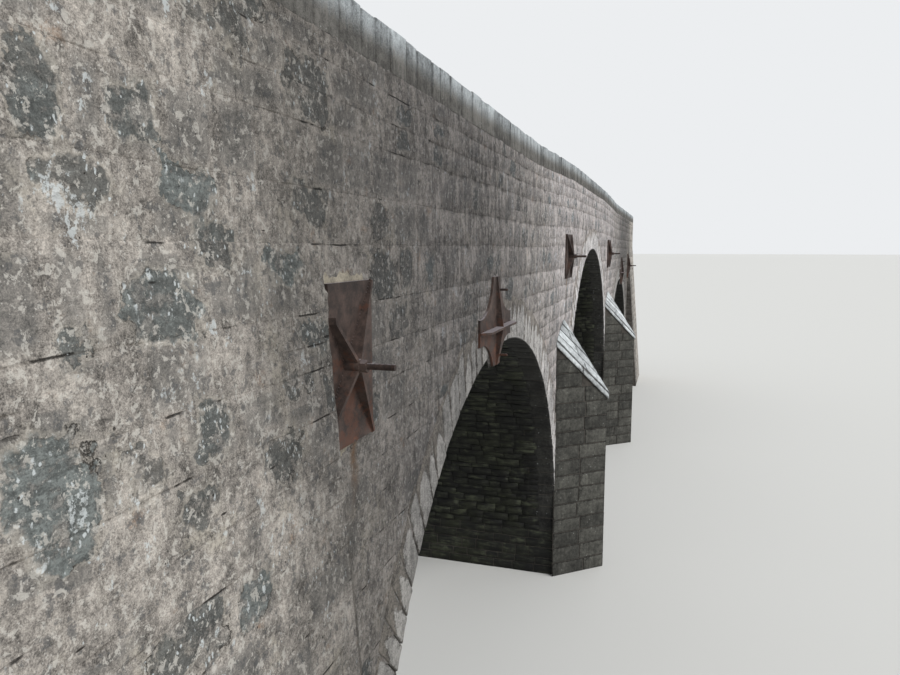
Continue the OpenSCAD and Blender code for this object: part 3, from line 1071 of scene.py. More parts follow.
def rust_runs(web, x, y, z, here):
    """Rust that has run down the wall from the plates."""
    wander = web.noise(here, 2.2, 3.0).stray(0.22) + web.noise(here, 26.0, 3.0).stray(0.05)
    foot = END_PLATE[1] - END_PLATE[3] / 2
    side = abs(abs(x) + wander - END_PLATE[0] + 0.165)
    far = side.falls(0.0, 0.085) * z.rises(4.25, foot - 0.15)
    far = far * z.between(foot + 0.1, foot)
    foot = PIER_PLATE[1] - PIER_PLATE[3] / 2
    near = abs(abs(x) + wander - PIER_PLATE[0]).falls(0.0, 0.05)
    near = near * z.rises(4.7, foot) * z.between(foot + 0.1, foot)
    return (far + near).least(1.0) * on_faces(y)


def corner_shadow_and_stain(web, x, y, z, here):
    """Darkening in the corner behind each wing wall's return: painted shadow of the return, with stain in it.
    """
    wander = web.noise(here, 3.0, 4.0, 0.6).stray(0.26)
    corner = (abs(x) + wander).rises(RETURN_X - 0.46, RETURN_X - 0.1)
    corner = corner * abs(x).between(RETURN_X + 0.02, RETURN_X + 0.03, 1.0, 0.0)
    return corner * (z + wander).falls(4.3, 4.9) * on_faces(y)


def wall_patterns(web, here):
    """What the layers of the wall's finish share. bare says where stones show, bed how far a bed joint is."""
    wall = SimpleNamespace(
        bare=attribute(web, "bare") - BURIED,
        tone=attribute(web, "tone"),
        edge=attribute(web, "edge"),
        bed=abs(attribute(web, "joint") - JOINT_REACH),
    )
    wall.open_air, wall.x, wall.y, wall.z = damp_stain_and_painted_shade(web, here)
    wall.away = abs(wall.x).falls(10.5, 14.0)
    wall.cloud = web.noise(here, 2.2, 4.0, 0.6)
    wall.blotch = web.noise(here, 8.0, 5.0, 0.6)
    wall.grain = web.noise(here, 40.0, 5.0, 0.75)
    wall.grit = web.noise(here, 140.0, 3.0, 0.75)
    return wall


def smeared_mortar(web, here, wall, light):
    """Mortar with lime, ochre and sand in it, and the ghosts of the stones that it barely covers."""
    run = streaks(web, here, 22.0, 2.2)
    shade = varied((wall.cloud, 0.9), (wall.blotch, 1.1), (wall.grain, 1.2), (wall.grit, 1.3))
    shade = shade + (run - 0.5) * (0.5 + wall.away * 0.9)
    stops = shades(light, (0.08, 0.48), (0.34, 0.81), (0.52, 1.0), (0.7, 1.165), (0.94, 1.39))
    colour = web.ramp(shade, *stops)
    lime = web.noise(here, 3.3, 5.0, 0.65).rises(0.56, 0.7) * wall.grain.rises(0.34, 0.56)
    colour = web.coat(colour, lime * 0.45, 212, 203, 186)
    ochre = web.noise(here, 5.1, 5.0, 0.7).rises(0.58, 0.7) * wall.cloud.rises(0.48, 0.56)
    colour = web.coat(colour, ochre * 0.4, 172, 130, 92)
    ghost = (wall.edge + wall.blotch.stray(0.16) + wall.grain.stray(0.05)).rises(0.02, 0.07)
    colour = web.coat(colour, ghost * wall.tone.rises(0.5, 0.62) * 0.46, 101, 101, 99)
    sand = spots(web, here, 85.0, 0.34, 0.13, 2.2)
    colour = web.coat(colour, sand * 0.54, 228, 224, 216)
    crumbs = spots(web, here, 62.0, 0.34, 0.12, 9.1)
    return web.coat(colour, crumbs * 0.42, 82, 74, 68)


def bare_stones(web, here, wall, colour, light):
    """Stones that show through the mortar, in a ragged outline with a pale rim."""
    torn = web.noise(here, 13.0, 4.0, 0.6)
    lobes = web.noise(here, 4.6, 3.0, 0.55)
    ragged = wall.bare + lobes.stray(0.22) + wall.blotch.stray(0.2) + torn.stray(0.14)
    wall.ragged = ragged + wall.grain.stray(0.06) + wall.grit.stray(0.014) - 0.012
    wall.fade = web.noise(here, 3.1, 2.0).between(0.44, 0.6, 0.005, 0.05)
    smear = (web.noise(here, 6.4, 4.0, 0.65) + wall.grain.stray(0.35)).rises(0.5, 0.6)
    shown = (wall.ragged / wall.fade).rises(0.0, 1.0)
    wall.bald = shown * (1.0 - smear * 0.66) * wall.tone.between(0.0, 1.0, 0.7, 0.98)
    wall.vein = web.noise(web.stretch(here, 9.0, 9.0, 24.0), 1.0, 4.0, 0.7, twist=0.6)
    core = varied((wall.vein, 1.1), (wall.grain, 1.1), (wall.grit, 0.8), (wall.tone, 0.5))
    stone = web.ramp(core, *shades(light, (0.12, 0.53), (0.42, 0.81), (0.62, 1.0), (0.9, 1.39)))
    colour = web.blend(wall.bald, colour, stone)
    wall.rim = wall.ragged.rises(-0.035, -0.002) * (1.0 - shown)
    return web.coat(colour, wall.rim * 0.3, 200, 193, 180)


def open_joints(web, here, wall, colour):
    """Gaps round the bare stones, the bed joints that still show, slots, chips and scuffs. The gaps, deep
    joints and slots are painted near black: painted shade in them.
    """
    sharp = 1.0 - wall.fade.between(0.006, 0.02)
    gap = abs(wall.ragged + 0.001).between(0.001, 0.006, 1.0, 0.0)
    gap = gap * web.noise(here, 5.0, 2.0).rises(0.5, 0.55) * sharp
    faint = wall.bed.between(0.001, 0.008, 1.0, 0.0) * web.noise(here, 1.7, 3.0).rises(0.46, 0.58)
    faint = faint * (1.0 - wall.away * 0.6)
    deep = (wall.bed + wall.grit.stray(0.008)).between(0.001, 0.006, 1.0, 0.0)
    deep = deep * web.noise(here, 3.4, 3.0).rises(0.59, 0.63) * (1.0 - wall.away * 0.6)
    slots = spots(web, web.stretch(here, 0.3, 0.3, 1.4), 24.0, 0.3, 0.03, 1.7)
    wall.dark = gap.most(deep).most(slots)
    chips = (web.noise(here, 15.0, 5.0, 0.7) + wall.grain.stray(0.25)).rises(0.56, 0.61) * (1.0 - wall.bald)
    colour = web.coat(colour, chips * 0.6, 82, 84, 86)
    scuffs = (web.noise(here, 19.0, 5.0, 0.7, twist=0.4) + wall.grain.stray(0.25)).rises(0.56, 0.61)
    colour = web.coat(colour, scuffs * 0.64, 216, 211, 202)
    colour = web.coat(colour, faint * 0.42, 88, 80, 70)
    # Painted shade in the gaps, deep joints and slots.
    return web.coat(colour, wall.dark * 0.9, 38, 34, 30)


def lichen_and_pits(web, here, wall, colour):
    """Lichen, which crowds round the bare stones and away from the near end, and pits."""
    tall = web.plus(web.stretch(here, 1.0, 1.0, 0.6), web.wobble(here, 26.0, 0.035))
    crowd = (wall.ragged + wall.cloud.stray(0.3)).rises(-0.05, 0.0)
    crowd = crowd.most(web.noise(here, 3.1, 3.0).rises(0.55, 0.64)).most(wall.away * 0.75)
    lichen = spots(web, tall, 46.0, 0.42, 0.3) * crowd
    lichen = lichen.most(spots(web, tall, 21.0, 0.38, 0.12, 3.1) * wall.grain.rises(0.4, 0.48) * crowd)
    splash = (web.noise(tall, 7.0, 5.0, 0.7) + wall.grain.stray(0.4)).rises(0.63, 0.67)
    lichen = lichen.most(splash * wall.cloud.rises(0.47, 0.53) * 0.9)
    colour = web.coat(colour, lichen * 0.85, 214, 219, 219)
    small = spots(web, here, 24.0, 0.2, 0.05, 7.3)
    wall.pits = small.most(spots(web, tall, 10.0, 0.2, 0.11, 4.4) * wall.away)
    return web.coat(colour, wall.pits * 0.85, 38, 34, 30)


def wall_finish(mortar_light, stone_light):
    """Rubble smeared with mortar."""
    web, here = new_finish("wall_rubble")
    wall = wall_patterns(web, here)
    colour = smeared_mortar(web, here, wall, mortar_light)
    colour = bare_stones(web, here, wall, colour, stone_light)
    colour = open_joints(web, here, wall, colour)
    colour = lichen_and_pits(web, here, wall, colour)
    place = wall.x, wall.y, wall.z, here
    # Painted shadow and stain in the corners behind the wing walls' returns.
    colour = web.coat(colour, corner_shadow_and_stain(web, *place) * 0.56, 74, 68, 60)
    stain = web.ramp(wall.z.between(4.3, 5.1), (0.0, tint(88, 74, 60)), (0.8, tint(150, 106, 58)))
    runs = rust_runs(web, *place) * wall.blotch.between(0.36, 0.56, 0.3, 0.85)
    colour = web.blend(runs * wall.grain.between(0.38, 0.56, 0.5, 1.0), colour, stain)
    # Wet stains and painted shade over the side arches' haunches.
    colour = web.shaded(colour, wall.open_air)
    height = wall.blotch * 0.5 + wall.grain * 0.65 + wall.grit * 0.28 - wall.bald * 0.25
    height = height + wall.rim * 0.22 - wall.pits * 0.8 - wall.dark * 0.9
    height = height + wall.bald * (wall.vein - 0.5) * 0.4
    return close_finish(web, colour, 0.93 - wall.bald * 0.1, height, 0.014)


def cut_patterns(web, here):
    """What the layers of a cut stone's finish share."""
    return SimpleNamespace(
        tone=attribute(web, "tone"),
        edge=attribute(web, "edge"),
        low=attribute(web, "low"),
        blotch=web.noise(here, 4.3, 4.0, 0.6),
        mottle=web.noise(here, 17.0, 5.0, 0.65),
        grain=web.noise(here, 95.0, 3.0, 0.7),
        sand=web.noise(here, 380.0, 2.0, 0.6),
        run=streaks(web, here, 19.0, 1.2, 5.0),
    )


def foot_stain(web, here, cut, colour, shade, foot, pointed):
    """Darkens a stone's lower side. foot says where that starts and ends, how strong it is and its colour."""
    start, end, share, stain = foot
    under = cut.low + (cut.run.stray(0.7) + cut.mottle.stray(0.6)) * (end - start)
    dark, layered = (60, 1.9) if pointed else (140, 0.0)
    wear_and_highlight = web.ramp(shade + bedding(web, here).stray(layered), (0.2, tint(dark, dark, dark)), (0.8, WHITE))
    stained = web.shaded(tint(*stain), wear_and_highlight)
    cut.covered = under.rises(start, end)
    return web.blend(cut.covered * share, colour, stained)


def joint_seam(web, here, cut, joint, pointed, fading):
    """Where the joint round a stone shows: wider at the outer end by pointed, gone at the foot by fading."""
    reach = cut.edge + cut.mottle.stray(joint) * 1.4
    if pointed:
        ragged = cut.mottle.stray(0.09) + cut.grain.stray(0.06)
        reach = reach.least(cut.low * 0.5) + ragged
        reach = reach - (0.44 + cut.tone.stray(0.5) - cut.low).most(0.0) * pointed
    seam = reach.falls(0.0, joint)
    if pointed:
        seam = seam * (1.0 - cut.covered)
    if fading:
        seam = seam * (1.0 - cut.low * fading).most(0.0)
        seam = seam * web.noise(here, 2.6, 2.0).between(0.4, 0.6, 0.25, 1.0)
    return seam


def dressed_finish(
        name, light, factors, freckle, edge_dark, run_share, depth, stain_and_shade_share=0.0, tone_share=0.42, joint=0.022,
        foot=None, seam_colour=(52, 50, 48), pointed=0.0, fading=0.0, lichen_share=0.8):
    """Cut stone: even colour from stone to stone, freckles, stained joints, runs, lichen and pits."""
    web, here = new_finish(name)
    cut = cut_patterns(web, here)
    shade = varied((cut.blotch, 0.8), (cut.mottle, 1.0), (cut.grain, freckle))
    shade = shade + cut.sand.stray(freckle) * 0.6 + cut.tone.stray(tone_share) + cut.run.stray(run_share)
    colour = web.ramp(shade, *shades(light, *factors))
    if foot:
        colour = foot_stain(web, here, cut, colour, shade, foot, pointed)
    seam = joint_seam(web, here, cut, joint, pointed, fading)
    coarse = varied((cut.mottle, 1.4), (cut.grain, 1.8), (cut.blotch, 0.8))
    speckled = web.ramp(coarse, (0.22, tint(120, 121, 123)), (0.5, tint(206, 205, 204)), (0.8, WHITE))
    dirt = web.shaded(tint(*seam_colour), speckled)
    colour = web.blend(seam * edge_dark, colour, dirt)
    lichen = spots(web, here, 30.0, 0.34, 0.16, 2.0) * cut.blotch.rises(0.46, 0.6)
    colour = web.coat(colour, lichen * lichen_share, 206, 210, 206)
    pits = spots(web, here, 42.0, 0.2, 0.1, 6.0)
    colour = web.coat(colour, pits * 0.7, 50, 46, 42)
    # A share of the darkening by wet stains and painted shade along the bridge.
    if stain_and_shade_share:
        colour = web.shaded(colour, damp_stain_and_painted_shade(web, here)[0], stain_and_shade_share)
    height = cut.mottle * 0.45 + cut.grain * 0.35 + cut.sand * 0.2 - pits * 0.8 + cut.blotch * 0.3
    height = height - seam * 0.4 * (pointed > 0)
    return close_finish(web, colour, 0.9, height, depth)


def damp_and_shade_finish(light):
    """The undersides of the arches: wet rubble, made dark partly as painted shade under the arches, with lime
    that has run out of the joints.
    """
    web, here = new_finish("damp_rubble")
    tone = attribute(web, "tone")
    edge = attribute(web, "edge")
    blotch = web.noise(here, 1.9, 4.0, 0.6)
    mottle = web.noise(here, 7.0, 5.0, 0.65)
    grain = web.noise(here, 80.0, 4.0, 0.7)
    layers = bedding(web, here)
    run = streaks(web, here, 7.0, 0.6, 11.0)
    shade = varied((blotch, 1.2), (mottle, 1.2), (grain, 0.7), (tone, 0.24), (layers, 1.9))
    colour = web.ramp(shade, *shades(light, (0.12, 0.08), (0.42, 0.36), (0.68, 0.84), (0.95, 1.6)))
    lime = run.rises(0.62, 0.78) * mottle.rises(0.42, 0.62)
    colour = web.coat(colour, lime * 0.22, 112, 110, 100)
    green = web.noise(here, 1.3, 4.0, 0.6).rises(0.44, 0.62)
    colour = web.coat(colour, green * 0.34, 38, 42, 20)
    joint = (edge + mottle.stray(0.06) + layers.stray(0.05)).falls(0.0, 0.02)
    colour = web.coat(colour, joint * 0.5, 8, 8, 7)
    height = mottle * 0.6 + grain * 0.4 + layers * 0.5
    return close_finish(web, colour, 0.66 + grain.stray(0.3), height, 0.02)


def mortar_finish(name, light, dark, damp_and_shade, hole=0.16):
    """Old lime mortar, in the joints and round the plates. Its fourth argument is the share of the darkening
    by wet stains and painted shade along the bridge.
    """
    web, here = new_finish(name)
    blotch = web.noise(here, 5.0, 4.0, 0.6)
    grain = web.noise(here, 60.0, 4.0, 0.7)
    sand = web.noise(here, 300.0, 2.0, 0.6)
    shade = varied((blotch, 1.2), (grain, 0.9), (sand, 0.5))
    colour = web.ramp(shade, *shades(light, (0.15, dark), (0.85, 1.0)))
    holes = spots(web, web.stretch(here, 1.0, 1.0, 0.7), 17.0, hole, hole * 1.1, 4.0)
    colour = web.coat(colour, holes * 0.9, 30, 26, 22)
    # Wet stains and painted shade along the bridge.
    colour = web.shaded(colour, damp_stain_and_painted_shade(web, here)[0], damp_and_shade)
    height = blotch * 0.4 + grain * 0.5 + sand * 0.25 - holes * 1.2
    return close_finish(web, colour, 0.95, height, 0.008)


def rust_finish(old_rust, fresh_rust):
    """Iron under a closed coat of old rust, browner towards the foot and lighter where it faces up: a painted
    highlight with some wear.
    """
    web, here = new_finish("rusted_plate")
    cloud = web.noise(here, 3.2, 4.0, 0.6)
    blotch = web.noise(here, 11.0, 4.0, 0.6)
    mottle = web.noise(here, 42.0, 5.0, 0.7)
    grain = web.noise(here, 240.0, 3.0, 0.7)
    _, _, z = web.split(here)
    shade = varied((cloud, 1.1), (blotch, 0.8), (mottle, 0.6), (grain, 0.5))
    stops = shades(old_rust, (0.16, 0.48), (0.4, 0.78), (0.55, 1.0), (0.74, 1.26), (0.95, 1.7))
    colour = web.ramp(shade, *stops)
    fresh = web.noise(here, 4.6, 5.0, 0.65) + mottle.stray(0.3)
    fresh = (fresh + z.between(5.0, 5.7, 0.08, -0.1)).rises(0.5, 0.62)
    colour = web.blend(fresh * 0.6, colour, fresh_rust)
    orange = (web.noise(here, 7.7, 5.0, 0.65) + z.between(5.0, 5.7, 0.03, -0.08)).rises(0.6, 0.7) * fresh
    colour = web.coat(colour, orange * 0.4, 124, 74, 46)
    scale = web.noise(here, 70.0, 4.0, 0.7).rises(0.58, 0.7)
    colour = web.coat(colour, scale * 0.45, 30, 23, 21)
    # Up-facing tops made pale: a painted highlight, with some rubbed wear.
    facing = web.split(web.add("ShaderNodeNewGeometry", out="Normal"))[2]
    wear_and_highlight = facing.rises(0.8, 0.97) * mottle.rises(0.3, 0.46)
    colour = web.coat(colour, wear_and_highlight * 0.75, 150, 143, 146)
    height = blotch * 0.4 + mottle * 0.35 + grain * 0.2 + scale * 0.35
    return close_finish(web, colour, 0.74 + mottle.stray(0.3), height, 0.002, 0.28)


def gravel_finish(light):
    web, here = new_finish("road_gravel")
    cell = web.add("ShaderNodeTexVoronoi", inputs={"Vector": here, "Scale": 55.0})
    pick, luck, _ = web.split(web.other(cell, "Color"))
    patch = web.noise(here, 1.2, 4.0, 0.6)
    grain = web.noise(here, 130.0, 3.0, 0.7)
    _, y, _ = web.split(here)
    wear_and_highlight = (0.5 - abs(abs(y) - TRACK_Y)).rises(0.1, 0.42)
    shade = 0.42 + pick.stray(0.5) + patch.stray(0.8) + grain.stray(0.4) + wear_and_highlight * 0.16
    colour = web.ramp(shade, *shades(light, (0.1, 0.49), (0.4, 0.77), (0.7, 1.0), (0.95, 1.21)))
    height = (1.0 - cell * 1.4) * (luck * 0.5 + 0.5) + grain * 0.3
    return close_finish(web, colour, 0.95, height, 0.008)


# The finishes and node trees, by name, made by the first step
FINISHES = {}
TREES = {}


def make_finishes():
    looks = SCENE.bridge_colours
    FINISHES["wall"] = wall_finish(looks.wall_mortar, looks.bare_stone)
    FINISHES["arch"] = dressed_finish(
        "arch_stone", looks.arch_stone, ((0.12, 0.55), (0.38, 0.82), (0.6, 1.0), (0.9, 1.18)), freckle=1.9,
        edge_dark=0.86, run_share=0.8, stain_and_shade_share=0.85, depth=0.01, tone_share=0.26,
        foot=(0.955, 0.985, 0.96, (36, 37, 30)), seam_colour=(158, 149, 137), pointed=0.27)
    # The cutwater colour is darker than the stone: partly painted shade on the cutwaters.
    FINISHES["ashlar"] = dressed_finish(
        "cutwater_ashlar", looks.cutwater_stone, ((0.12, 0.52), (0.4, 0.78), (0.62, 1.0), (0.92, 1.34)),
        freckle=0.7, edge_dark=1.0, run_share=0.5, depth=0.009, tone_share=0.3, joint=0.018,
        seam_colour=(13, 12, 10), lichen_share=0.35)
    FINISHES["coping"] = dressed_finish(
        "coping_stone", looks.coping_stone, ((0.12, 0.55), (0.38, 0.82), (0.6, 1.0), (0.9, 1.22)),
        freckle=1.0, edge_dark=0.75, run_share=0.9, depth=0.01, tone_share=0.34, joint=0.034,
        foot=(0.1, 0.7, 0.94, (108, 104, 98)), fading=0.9)
    FINISHES["cap"] = dressed_finish(
        "cap_stone", looks.cap_stone, ((0.12, 0.65), (0.38, 0.86), (0.6, 1.0), (0.9, 1.14)), freckle=0.7,
        edge_dark=0.7, run_share=0.6, depth=0.007)
    FINISHES["damp_and_shade"] = damp_and_shade_finish(looks.underside)
    FINISHES["joint"] = mortar_finish("joint_mortar", looks.joint_mortar, 0.43, 1.0)
    FINISHES["bed"] = mortar_finish("plate_mortar", looks.plate_mortar, 0.5, 0.4, 0.55)
    FINISHES["rust"] = rust_finish(looks.rust, looks.fresh_rust)
    FINISHES["gravel"] = gravel_finish(looks.gravel)


def make_trees():
    TREES["facing"] = facing_tree()
    TREES["ring"] = row_tree("arch_ring_stones", place_on_arc, [
        "Radius", "Mean radius", "Depth", "Depth play", "Stands out", "Wall thickness", "Wall face", "Lean"])
    TREES["coping"] = row_tree("coping_slabs", place_on_parapet, [
        "Height", "Depth", "Base", "Rise", "Ramp foot", "Ramp length", "Middle line"])
    TREES["pebbles"] = pebble_tree()
    TREES["welds"] = weld_tree()
    TREES["threads"] = thread_tree()


# Pieces


def behind_cutwater(x, z):
    return (np.abs(np.abs(x) - PIER_X) < BEHIND_CUTWATER[0]) & (z < BEHIND_CUTWATER[1])


def wall_stones():
    """The two long faces: their courses run through from end to end above the wing walls' tops."""
    for face, seed, placed in (("front", 11, BARE_STONES), ("back", 12, ())):
        dice = new_dice(seed)
        rule = front_rule if face == "front" else turned(front_rule)
        low = lay_long(dice, -RETURN_X, RETURN_X, 0.0, SPLIT_Z, placed)
        high = lay_long(dice, -END_X, END_X, SPLIT_Z, COPING_Z, placed)
        stones = np.concatenate([low, high])
        for _, x, spring, radius in ARCHES:
            stones = cut_round(stones, x, spring, radius)
        stones = without(stones, behind_cutwater)
        if placed:
            near = (stones[:, 0] + stones[:, 1]) / 2 < -NEAR_X
            near_stones(dice, stones[near])
            stones = stones[~near]
        piece = bend(set_stones(f"wall_stones_{face}", dice, stones), rule)
        dress(piece, "wall_stone")


def near_stones(dice, stones):
    """The stones beside the near end, which are finer, with those of the wing wall below them."""
    parts = []
    wing = lay_long(dice, -END_X, -RETURN_X, 0.0, SPLIT_Z, BARE_STONES)
    for name, laid, rule in (("upper", stones, front_rule), ("wing", wing, wing_rule)):
        piece = set_stones(name, dice, laid, grid=(17, 11), bare=0.08, Unevenness=0.022)
        expose_at(piece, dice, BARE_STONES)
        parts.append(bend(piece, rule))
    dress(join_meshes("wall_stones_near", *parts), "wall_stone")


def wing_stones():
    """The other three wing walls, below the courses that run through."""
    mirrored = {
        "west_back": (lambda u, v, w: (-u, FACE_Y + batter_at(v) + w, v), RETURN_X),
        "east_front": (wing_rule, RETURN_X),
        "east_back": (turned(wing_rule), -END_X),
    }
    for seed, (name, (rule, left)) in enumerate(mirrored.items()):
        dice = new_dice(31 + seed)
        stones = lay_long(dice, left, left + END_X - RETURN_X, 0.0, SPLIT_Z)
        piece = bend(set_stones(f"wing_stones_{name}", dice, stones), rule)
        dress(piece, "wall_stone")


def end_faces():
    """The two ends, where the road comes in between the wing walls."""
    for side, seed in (("west", 41), ("east", 42)):
        dice = new_dice(seed)
        turn = turned if side == "east" else lambda rule: rule
        stones = lay_courses(dice, (-FACE_Y, FACE_Y, 0.0, BED_Z), (0.24, 0.36), (0.35, 0.75))
        low = bend(set_stones("end_stones", dice, stones), turn(west_end_rule))
        areas = ((-FACE_Y, -ROAD_Y), (ROAD_Y, FACE_Y))
        stones = [lay_courses(dice, (a, b, BED_Z, COPING_Z), (0.2, 0.3), (0.2, 0.4)) for a, b in areas]
        high = set_stones("end_parapet", dice, np.concatenate(stones))
        bend(high, turn(west_parapet_end_rule))
        dress(join_meshes(f"end_stones_{side}", low, high), "wall_stone")


def parapet_insides():
    for face, seed in (("front", 51), ("back", 52)):
        dice = new_dice(seed)
        stones = lay_courses(dice, (-END_X, END_X, ROAD_TOP - 0.04, COPING_Z), (0.17, 0.3), (0.28, 0.62))
        piece = set_stones(f"parapet_inside_{face}", dice, stones)
        bend(piece, inside_rule if face == "front" else turned(inside_rule))
        dress(piece, "wall_stone")


def foot_stones():
    """The small stones of the long faces under the outer feet of the side arches' rings."""
    lines = course_lines()
    foot = lines[lines < SIDE_SPRING - 0.05].max()
    dice = new_dice(65)
    parts = []
    for rule in (front_rule, turned(front_rule)):
        for side in (-1, 1):
            left, right = sorted((side * SIDE_FAR_X, side * (SIDE_FAR_X + RING_COVER)))
            stones = np.array([[left, right, foot, SIDE_SPRING]])
            parts.append(bend(set_stones("foot_stone", dice, stones, bare=0.0), rule))
    return parts


def wing_returns():
    """The narrow upright faces where the battered wing walls stand out beside the side arches."""
    def east_look(u, v, w):
        return w - RETURN_X, -FACE_Y - batter_at(v) * (1 - u / BATTER_FOOT), v

    def west_look(u, v, w):
        return RETURN_X - w, -FACE_Y - batter_at(v) * u / BATTER_FOOT, v

    rules = (east_look, turned(east_look), west_look, turned(west_look))
    parts = []
    for seed, rule in enumerate(rules):
        dice = new_dice(61 + seed)
        stones = lay_courses(dice, (0.0, BATTER_FOOT, 0.0, 5.5), (0.24, 0.34), (0.24, 0.5))
        parts.append(bend(set_stones("return_stones", dice, stones, proud=(0.004, 0.006)), rule))
    dress(join_meshes("wing_return_stones", *parts, *foot_stones()), "wall_stone")


def soffit_stones():
    """The undersides between the dressed rings, and the upright faces below the springings."""
    own = {
        "Waviness": 0.034, "Own waviness": 0.03, "Unevenness": 0.0, "Own unevenness": 0.02,
        "Bedding": 0.012}
    for seed, (name, x, spring, radius) in enumerate(ARCHES):
        dice = new_dice(71 + seed)
        area = (-SOFFIT_Y, SOFFIT_Y, 0.0, math.pi * radius)
        stones = lay_courses(dice, area, (0.09, 0.19), (0.18, 0.5), 0.0)
        name = f"soffit_stones_{name}"
        piece = set_stones(name, dice, stones, "damp_and_shade", (5, 5), (0.006, 0.03), 0.008, 0.0, **own)
        bend(piece, soffit_rule(x, spring, radius))
        dress(piece, "arch_stone")
    spots_below = (
        (-MAIN_R, 1, MAIN_SPRING), (MAIN_R, -1, MAIN_SPRING), (-SIDE_NEAR_X, -1, SIDE_SPRING),
        (SIDE_NEAR_X, 1, SIDE_SPRING), (-SIDE_FAR_X, 1, SIDE_SPRING), (SIDE_FAR_X, -1, SIDE_SPRING),
    )
    own = {"Waviness": 0.016, "Own waviness": 0.008, "Unevenness": 0.0, "Own unevenness": 0.009}
    parts = []
    for seed, (x, side, top) in enumerate(spots_below):
        dice = new_dice(81 + seed)
        stones = lay_courses(dice, (-FACE_Y, FACE_Y, 0.0, top), (0.13, 0.24), (0.24, 0.6), 0.0)
        part = set_stones("jamb_stones", dice, stones, "damp_and_shade", (7, 5), (0.006, 0.014), 0.008, 0.0, **own)
        parts.append(bend(part, jamb_rule(x, side)))
    dress(join_meshes("jamb_stones", *parts), "arch_stone")


def run_of_blocks(name, tree, sign, values):
    """A run of blocks made for the front, which sign -1 turns to the back."""
    values = {"Edge radius": 0.014, "Roughness": 0.024, **values}
    piece = grow(name, bpy.data.meshes.new("run"), TREES[tree], values)
    set_places(piece.data, places_of(piece.data) * (sign, sign, 1))
    return piece


def arch_stones():
    """The dressed stones of the arches' two faces."""
    sizes = SCENE.bridge_stones
    block = block_base((5, 5, 4))
    for seed, (name, x, spring, radius) in enumerate(ARCHES):
        mean = radius + RING_MIDDLE
        values = {
            "Block": block, "Stones": round(math.pi * radius / sizes.arch_stone), "Run": math.pi * mean,
            "Narrowest": 0.19, "Widest": 0.31, "Joint": 0.01, "Radius": radius, "Mean radius": mean,
            "Depth": RING_DEPTH, "Depth play": 0.1, "Stands out": sizes.ring_stands_out,
            "Wall thickness": FACE_Y - SOFFIT_Y + 0.06, "Wall face": FACE_Y,
            "Lean": 0.0 if name == "main" else 0.36, "Finish": FINISHES["arch"],
        }
        for face, sign in (("front", 1), ("back", -1)):
            values["Seed"] = 3 * seed + sign + 5
            piece = run_of_blocks(f"arch_stones_{name}_{face}", "ring", sign, values)
            dress(shift(piece, x, 0.0, spring), "arch_stone")
    drop(block)


def strip_grid(low_y, high_y, counts, inset=0.0):
    """X and Y of a grid over the bridge's length."""
    columns, rows = counts
    return np.meshgrid(np.linspace(inset - END_X, END_X - inset, columns), np.linspace(low_y, high_y, rows))


def strip_solid(name, low_y, high_y, low_z, high_z, counts, finish, roughness=0.0, seed=0):
    """A solid that runs along the bridge over the rise of the road. A rough one has wheel tracks."""
    x, y = strip_grid(low_y, high_y, counts)
    rough = new_dice(seed).normal(0.0, 1.0, x.shape)
    for _ in range(2):
        rough = sum((np.roll(rough, step, axis) for axis in (0, 1) for step in (1, -1)), rough) / 3.2
    top = high_z + rise_at(x) + rough * roughness
    if roughness:
        track = np.exp(-(((np.abs(y) - TRACK_Y) / 0.22) ** 2))
        top = top - SCENE.bridge_road.track_depth * track + 0.012 * np.cos(y / high_y * 1.5)
    points = np.concatenate([grid_points(x, y, top), grid_points(x, y, low_z + rise_at(x))])
    faces = grid_faces(*counts)
    faces += [tuple(i + x.size for i in reversed(face)) for face in faces]
    rim = grid_rim(*counts)
    faces += [(a, a + x.size, b + x.size, b) for a, b in zip(rim, rim[1:] + rim[:1])]
    thing = new_object(name, new_mesh(name, points, faces))
    thing.data.materials.append(FINISHES[finish])
    return thing


def coping_slabs():
    """Upright slabs along both parapets, on a core of mortar."""
    sizes = SCENE.bridge_stones
    block = block_base()
    middle = (COPING_LOW.y + COPING_HIGH.y) / -2
    depth = COPING_HIGH.y - COPING_LOW.y
    half = depth / 2 - 0.025
    values = {
        "Block": block, "Stones": round(2 * END_X / sizes.coping_slab), "Run": 2 * END_X - 0.01,
        "Narrowest": 0.2, "Widest": 0.42, "Joint": sizes.coping_joint, "Depth": depth,
        "Height": COPING_TOP - COPING_Z + 0.012, "Base": COPING_Z, "Rise": RISE, "Ramp foot": RAMP_X,
        "Ramp length": RAMP_X - LEVEL_X, "Middle line": middle, "Finish": FINISHES["coping"],
    }
    for face, sign, seed in (("front", 1, 3), ("back", -1, 4)):
        name = f"coping_slabs_{face}"
        slabs = run_of_blocks(name, "coping", sign, {**values, "Seed": seed})
        low, high = sorted((-sign * (middle - half), -sign * (middle + half)))
        core = strip_solid("core", low, high, COPING_Z, COPING_TOP - 0.03, (71, 2), "joint")
        dress(join_meshes(name, slabs, core), "coping_stone", f"coping_{face}")
    drop(block)


def cutwater_stones():
    """Large squared blocks on the pointed cutwaters, and the sloping slabs that cap them."""
    for seed, (side, x) in enumerate((("west", -PIER_X), ("east", PIER_X))):
        for face in ("front", "back"):
            turn = turned if face == "back" else lambda rule: rule
            middle = -x if face == "back" else x
            dice = new_dice(91 + 2 * seed + (face == "back"))
            left = (middle - CUTWATER_HALF, -FACE_Y)
            nose = (middle, -FACE_Y - NOSE_OUT)
            right = (middle + CUTWATER_HALF, -FACE_Y)
            parts = []
            for foot, head, falls in ((left, nose, True), (nose, right, False)):
                rule, length = leaning_rule(foot, head)
                parts.append(bend(cutwater_face(dice, length, falls), turn(rule)))
            dress(join_meshes(f"cutwater_blocks_{side}_{face}", *parts), "ashlar")
            dress(cap_slabs(f"cap_slabs_{side}_{face}", dice, middle, turn), "coping_stone")


